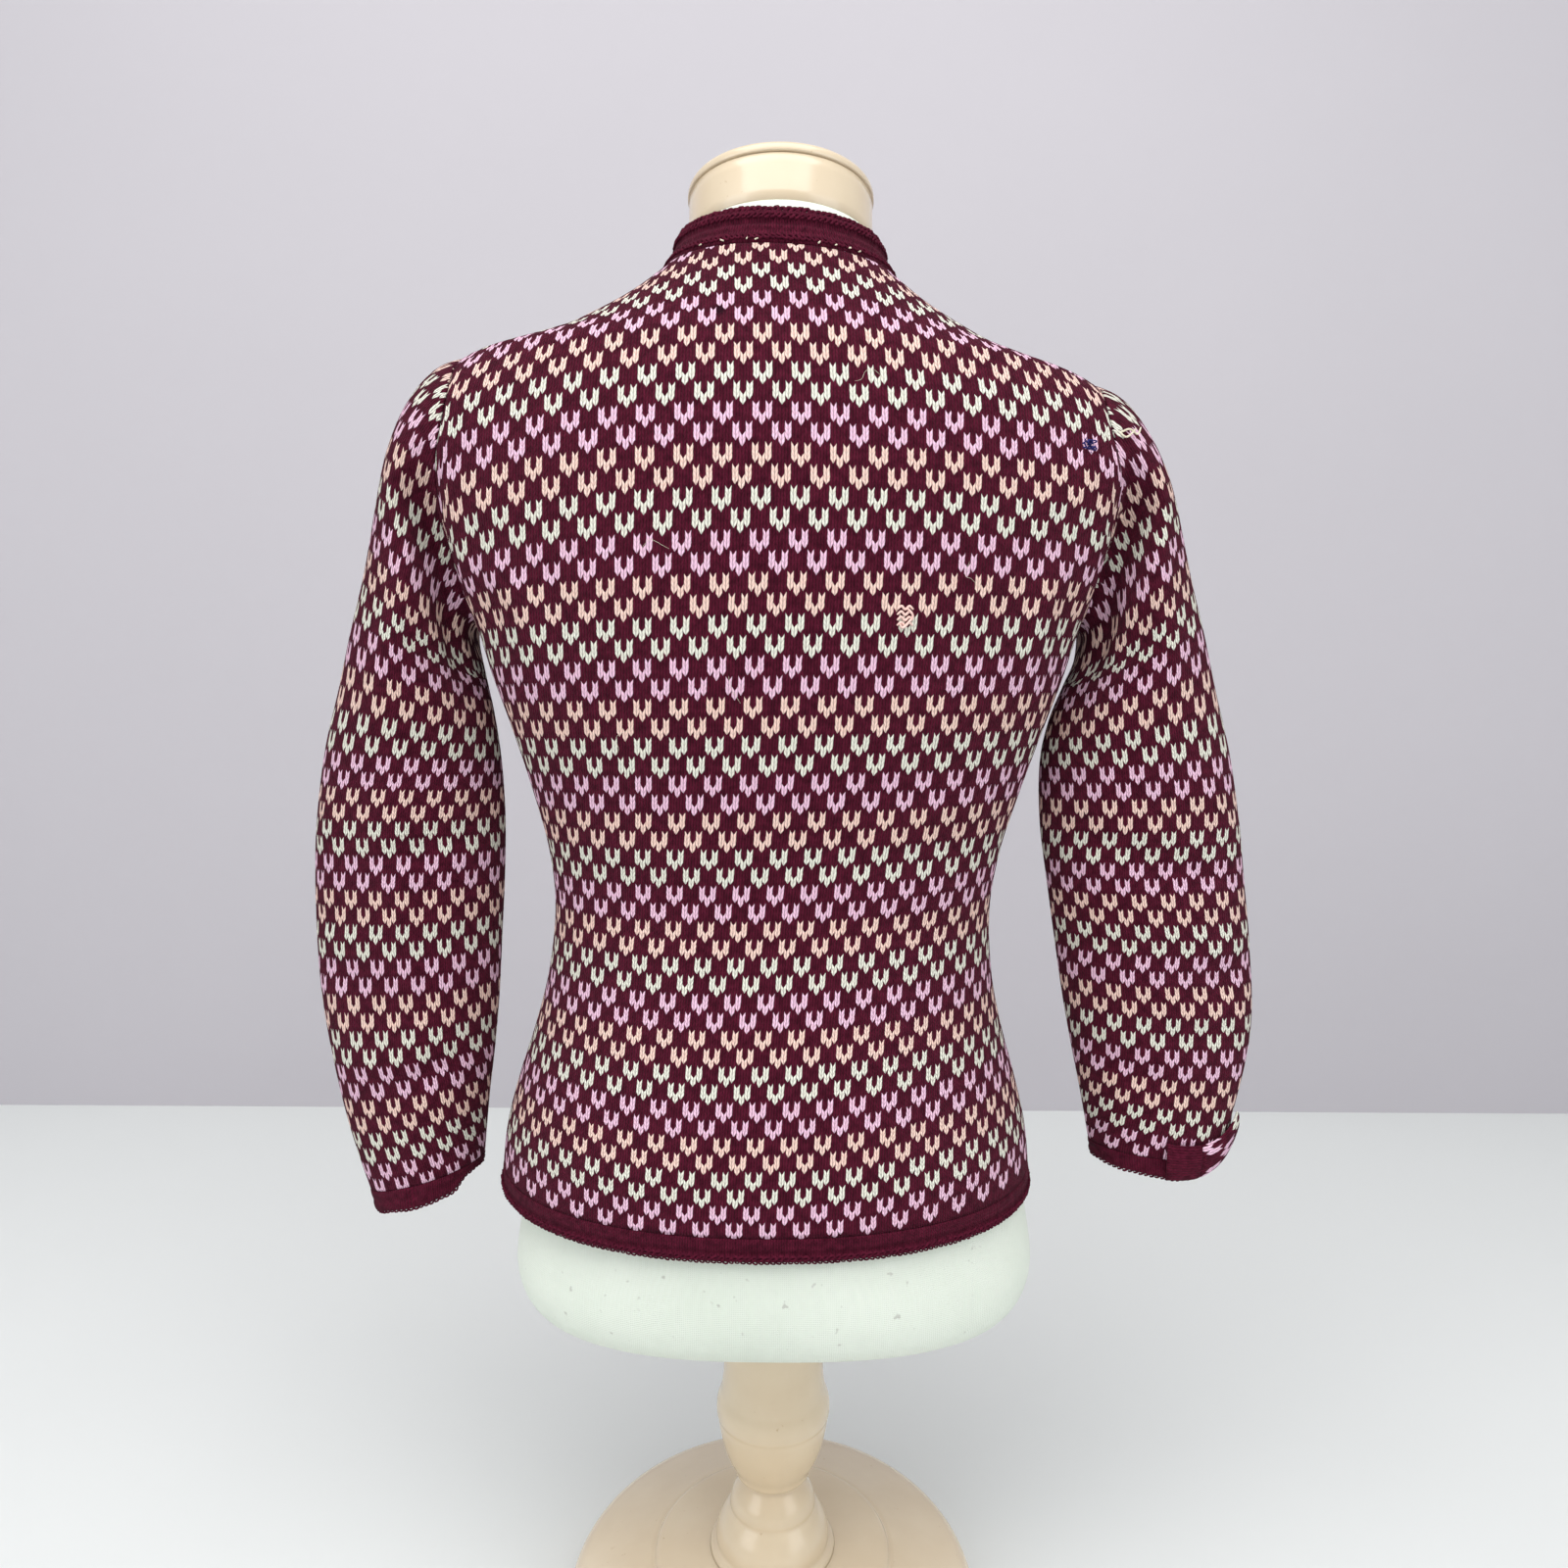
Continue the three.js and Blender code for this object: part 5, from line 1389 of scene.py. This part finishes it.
def worked_edge(name, path, outward_way, sizes, closed=False):
    """Loops along a path of points, on the side that outward_way gives at each point.
    sizes are the loops' spacing, size, yarn, stretch, tilt and seed."""
    mesh = bpy.data.meshes.new(name)
    count = len(path)
    spans = [(i, (i + 1) % count) for i in range(count if closed else count - 1)]
    mesh.from_pydata([tuple(p * MM) for p in path], spans, [])
    layer = mesh.attributes.new("outward", "FLOAT_VECTOR", "POINT")
    layer.data.foreach_set("vector", np.asarray(outward_way, np.float32).ravel())
    made = bpy.data.objects.new(name, mesh)
    bpy.context.scene.collection.objects.link(made)
    use = made.modifiers.new("edge", "NODES")
    use.node_group = EDGES
    for title, value in zip(LOOP_SIZES + ["Material"], [*sizes, BURGUNDY_YARN]):
        use[EDGE_NAMES[title]] = value
    graph = bpy.context.evaluated_depsgraph_get()
    final = bpy.data.meshes.new_from_object(made.evaluated_get(graph))
    made.modifiers.clear()
    made.data = final
    final.name = name
    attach(made, "root")
    return made


def edge_row(outer, inner, row, proud):
    """A line along a band's outer face, standing out by so much, and its outward way."""
    way = unit(outer[row] - inner[row])
    return outer[row] + way * proud, way


# The band, its row, how far out the loops stand, and their sizes.
NECK, HEM = (neck_outer, neck_inner), (hem_outer, hem_inner)
for name, band, row, proud, *sizes in (
    ("neck_band_chain", NECK, -1, -1.0, 3.4, 1.35, 1.25, 1.5, 0.6, 3),
    ("neck_band_ridge_low", NECK, 3, 0.1, 3.3, 1.15, 0.75, 1.5, -0.6, 5),
    ("neck_band_ridge_high", NECK, -5, 0.1, 3.3, 1.15, 0.75, 1.5, 0.6, 7),
    ("hem_band_ridge", HEM, 3, 0.1, 3.6, 1.1, 0.75, 1.6, 0.5, 9),
    ("hem_band_chain", HEM, 0, -0.6, 3.3, 0.8, 0.5, 1.8, -0.4, 11),
):
    worked_edge(name, *edge_row(*band, row, proud), sizes)
for name in ("left", "right"):
    rim, inside = CUFF_RIMS[name]
    way = unit(rim - inside)
    worked_edge(f"cuff_{name}_edge", rim - way * 0.9, way, (3.4, 1.0, 0.65, 1.6, 0.4, 15), True)


# ---- Marks of wear ----


def strands(name, paths, radius, finish):
    """Loose ends of yarn: each path is smoothed and thins to its ends."""
    parts = []
    for path in paths:
        path = np.array(path, float)
        at = np.linspace(0, len(path) - 1, 5 * len(path))
        fine = between(path, at)
        share = np.linspace(0, 1, len(fine))
        widths = radius * (0.55 + 0.45 * np.sin(math.pi * share) ** 0.5)
        parts.append(soft_tube(fine, widths, 7))
    made = outward_mesh(name, *joined(parts), (finish,))
    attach(made, "root")
    return made


def on_back(x, z, proud):
    """A point over the back's outer face; x and z as knitted, before the garment's lean."""
    turn = math.copysign(float(turn_at_x(abs(x), z)), x)
    return inset_point(body, turn, float(z), -float(proud))


BLUE_TUFT = np.array([-172.0, 70.0, 784.0])
DARN = np.array([-69.0, 688.0])
darn_rows = []
for row in range(4):
    z = DARN[1] + 4.2 - row * 2.9
    darn_rows.append(
        [
            on_back(DARN[0] + 4.4 - k * 2.2, z + (0.9 if k % 2 else -0.9), 0.3 + 0.3 * (k % 2))
            for k in range(5)
        ]
    )
DARN_END = ((-1, 4), (-4, 0), (-1.5, -4), (1.5, -6.5), (3, -4.5))
darn_rows.append([on_back(DARN[0] + x, DARN[1] + z, 1.2) for x, z in DARN_END])
strands("darn", darn_rows, 0.75, PEACH_YARN)
rng = np.random.default_rng(8)
tuft = [BLUE_TUFT + rng.uniform(-1, 1, (6, 3)) * (6.0, 1.3, 4.5) for _ in range(7)]
strands("blue_thread", tuft, 0.42, INDIGO_YARN)
loose = [(-190, 55.5, 796), (-194, 58.5, 794), (-199, 59.5, 795.5)]
loose += [(-204, 58.5, 793), (-206, 57.5, 797)]
strands("loose_loop", [loose, [(-192, 57, 797), (-197, 60, 791), (-203, 59, 796)]], 0.6, CREAM_YARN)
specks = []
rng = np.random.default_rng(4)
# The neck band's second line, of which the back's part starts so many points in.
line, behind = neck_outer[1], 80
for across in (32, 19, 12, -22, -31, -39, -45, 44):
    k = int(np.abs(line[behind:-behind, 0] - across).argmin()) + behind
    spot = line[k] + unit(line[k] - neck_inner[1][k]) * 0.9
    tip = rng.uniform(-0.8, 0.8, (3, 3)) * (1.4, 0.3, 0.7)
    specks.append([spot, *(spot + tip)])
strands("neck_specks", specks, 0.4, CREAM_YARN)
hairs = []
for seed, (x, z) in enumerate(((58, 722), (-40, 812), (-112, 704), (90, 610), (20, 640))):
    rng = np.random.default_rng(20 + seed)
    turn = rng.uniform(0, math.pi)
    path = []
    for k in range(5):
        turn += rng.uniform(-0.5, 0.5)
        path.append(on_back(x + 4 * k * math.cos(turn), z + 4 * k * math.sin(turn), 0.7))
    hairs.append(path)
strands("stray_hairs", hairs, 0.09, CREAM_YARN)


# The right cuff's outer corner is turned up over the sleeve: from and to which angle, the share
# of it that is the cuff's own band, and its height at both ends.
TURNED_FROM, TURNED_TO = 84, 150
TURNED_BAND = 0.3
TURNED_HIGH, TURNED_LOW = 24, 16
TURNED_OFF, TURNED_HALF_WALL, TURNED_SWELL = 1.4, 1.1, 2.4


def turned_corner(name, first, last, finish, slot):
    skin = SLEEVE_SKINS["right"]
    middle = skin.mean(1, keepdims=True)
    share, rise = np.linspace(first, last, 22), np.linspace(0, 1, 20)
    face = np.empty((len(rise), len(share), 3))
    for j, s in enumerate(share):
        turn = (TURNED_FROM + (TURNED_TO - TURNED_FROM) * s) * SLEEVE_SIDES / 360
        k = int(turn)
        line = skin[:, k] * (1 - turn + k) + skin[:, k + 1] * (turn - k)
        away = line - middle[:, 0]
        away[:, 2] = 0
        line = line + unit(away) * TURNED_OFF
        up = lengths(line[::-1])
        long = TURNED_HIGH - (TURNED_HIGH - TURNED_LOW) * s
        start = -CUFF_HIGH["right"] - 1.5 + 3 * s
        for i, r in enumerate(rise):
            height = start + long * r
            spot = np.array([np.interp(height, up, line[::-1, axis]) for axis in range(3)])
            if height < 0:
                spot += unit(line[-1] - line[-3]) * -height
            swell = TURNED_SWELL * math.sin(math.pi * min(r * 0.9 + 0.1, 1)) ** 0.6
            spot += unit(away)[-1] * (1.0 + swell - 0.2)
            face[i, j] = spot
    across, up = np.gradient(face, axis=1), np.gradient(face, axis=0)
    normal = unit(np.cross(across, up))
    normal *= np.sign((normal * (face - middle[-1])).sum(-1).mean())
    r, s = np.meshgrid(rise, share, indexing="ij")
    u = 1.4 + r * 20 / 2.9
    v = (s - TURNED_BAND) * 46 / 2.8 + r * 0.7
    outer, inner = face + normal * TURNED_HALF_WALL, face - normal * TURNED_HALF_WALL
    made = cloth_wall(name, outer, inner, np.stack([u, v], -1), (finish, finish))
    return dressed(made, slot)


turned_corner("cuff_turned_corner", TURNED_BAND, 1, PATTERNED, "patterned_knit")
turned_corner("cuff_turned_band", 0, TURNED_BAND, PLAIN, "plain_knit")


# ---- Stage, light and camera ----


def stage_plane(name, corners, tone):
    shader = Shader(name, roughness=0.9)
    lighter = tuple(c * 1.03 for c in tone[:3]) + (1,)
    shader.set(base_color=shader.ramp(shader.noise(1.3, 2), [(0.3, tone), (0.7, lighter)]))
    made = mesh_object(name, np.array(corners, float), [[0, 1, 2, 3]], (shader.material,))
    return made


FLOOR_END = -885
LEFT, RIGHT = (2500, FLOOR_END, 0), (-2500, FLOOR_END, 0)
stage_plane("floor", [RIGHT, LEFT, (2500, 2600, 0), (-2500, 2600, 0)], srgb(226, 229, 228))
HIGH = [(-2500, FLOOR_END, 2600), (2500, FLOOR_END, 2600)]
stage_plane("backdrop", [LEFT, RIGHT, *HIGH], srgb(190, 187, 193))


def soft_light(name, place, aim, size, watts, tone=(1, 1, 1)):
    data = bpy.data.lights.new(name, "AREA")
    data.shape = "RECTANGLE"
    data.size, data.size_y = size
    data.energy = watts
    data.color = tone
    made = bpy.data.objects.new(name, data)
    made.location = Vector(place)
    made.rotation_euler = (Vector(aim) - Vector(place)).to_track_quat("-Z", "Y").to_euler()
    bpy.context.scene.collection.objects.link(made)


soft_light("above", (0.1, 0.9, 2.3), (0, 0, 0.6), (2.4, 1.6), 40, (1, 0.99, 0.97))
soft_light("left", (1.7, 1.3, 1.2), (0, 0, 0.6), (1.2, 1.6), 11)
soft_light("right", (-1.6, 1.2, 1.1), (0, 0, 0.6), (1.2, 1.6), 9)
soft_light("front", (0, -2.4, 1.6), (0, 0, 0.6), (1.6, 1.6), 14)
world = bpy.data.worlds.new("room")
world.use_nodes = True
room = world.node_tree.nodes["Background"].inputs
room[0].default_value = (0.93, 0.94, 0.96, 1)
room[1].default_value = 0.56
bpy.context.scene.world = world
bpy.context.scene.view_settings.view_transform = "Standard"

PITCH, ROLL, YAW = math.radians(6.1), math.radians(0.4), math.radians(0.18)
camera_data = bpy.data.cameras.new("camera")
camera_data.lens = 25.2
camera_data.sensor_width = 36
camera = bpy.data.objects.new("camera", camera_data)
level_way = -math.cos(PITCH)
ahead = Vector((math.sin(YAW) * level_way, math.cos(YAW) * level_way, -math.sin(PITCH)))
level = ahead.cross(Vector((0, 0, 1))).normalized()
upright = level.cross(ahead)
across = level * math.cos(ROLL) + upright * math.sin(ROLL)
over = upright * math.cos(ROLL) - level * math.sin(ROLL)
place = Matrix((across, over, -ahead)).transposed().to_4x4()
place.translation = Vector((-0.0022, 0.700, 0.660))
camera.matrix_world = place
bpy.context.scene.collection.objects.link(camera)
bpy.context.scene.camera = camera
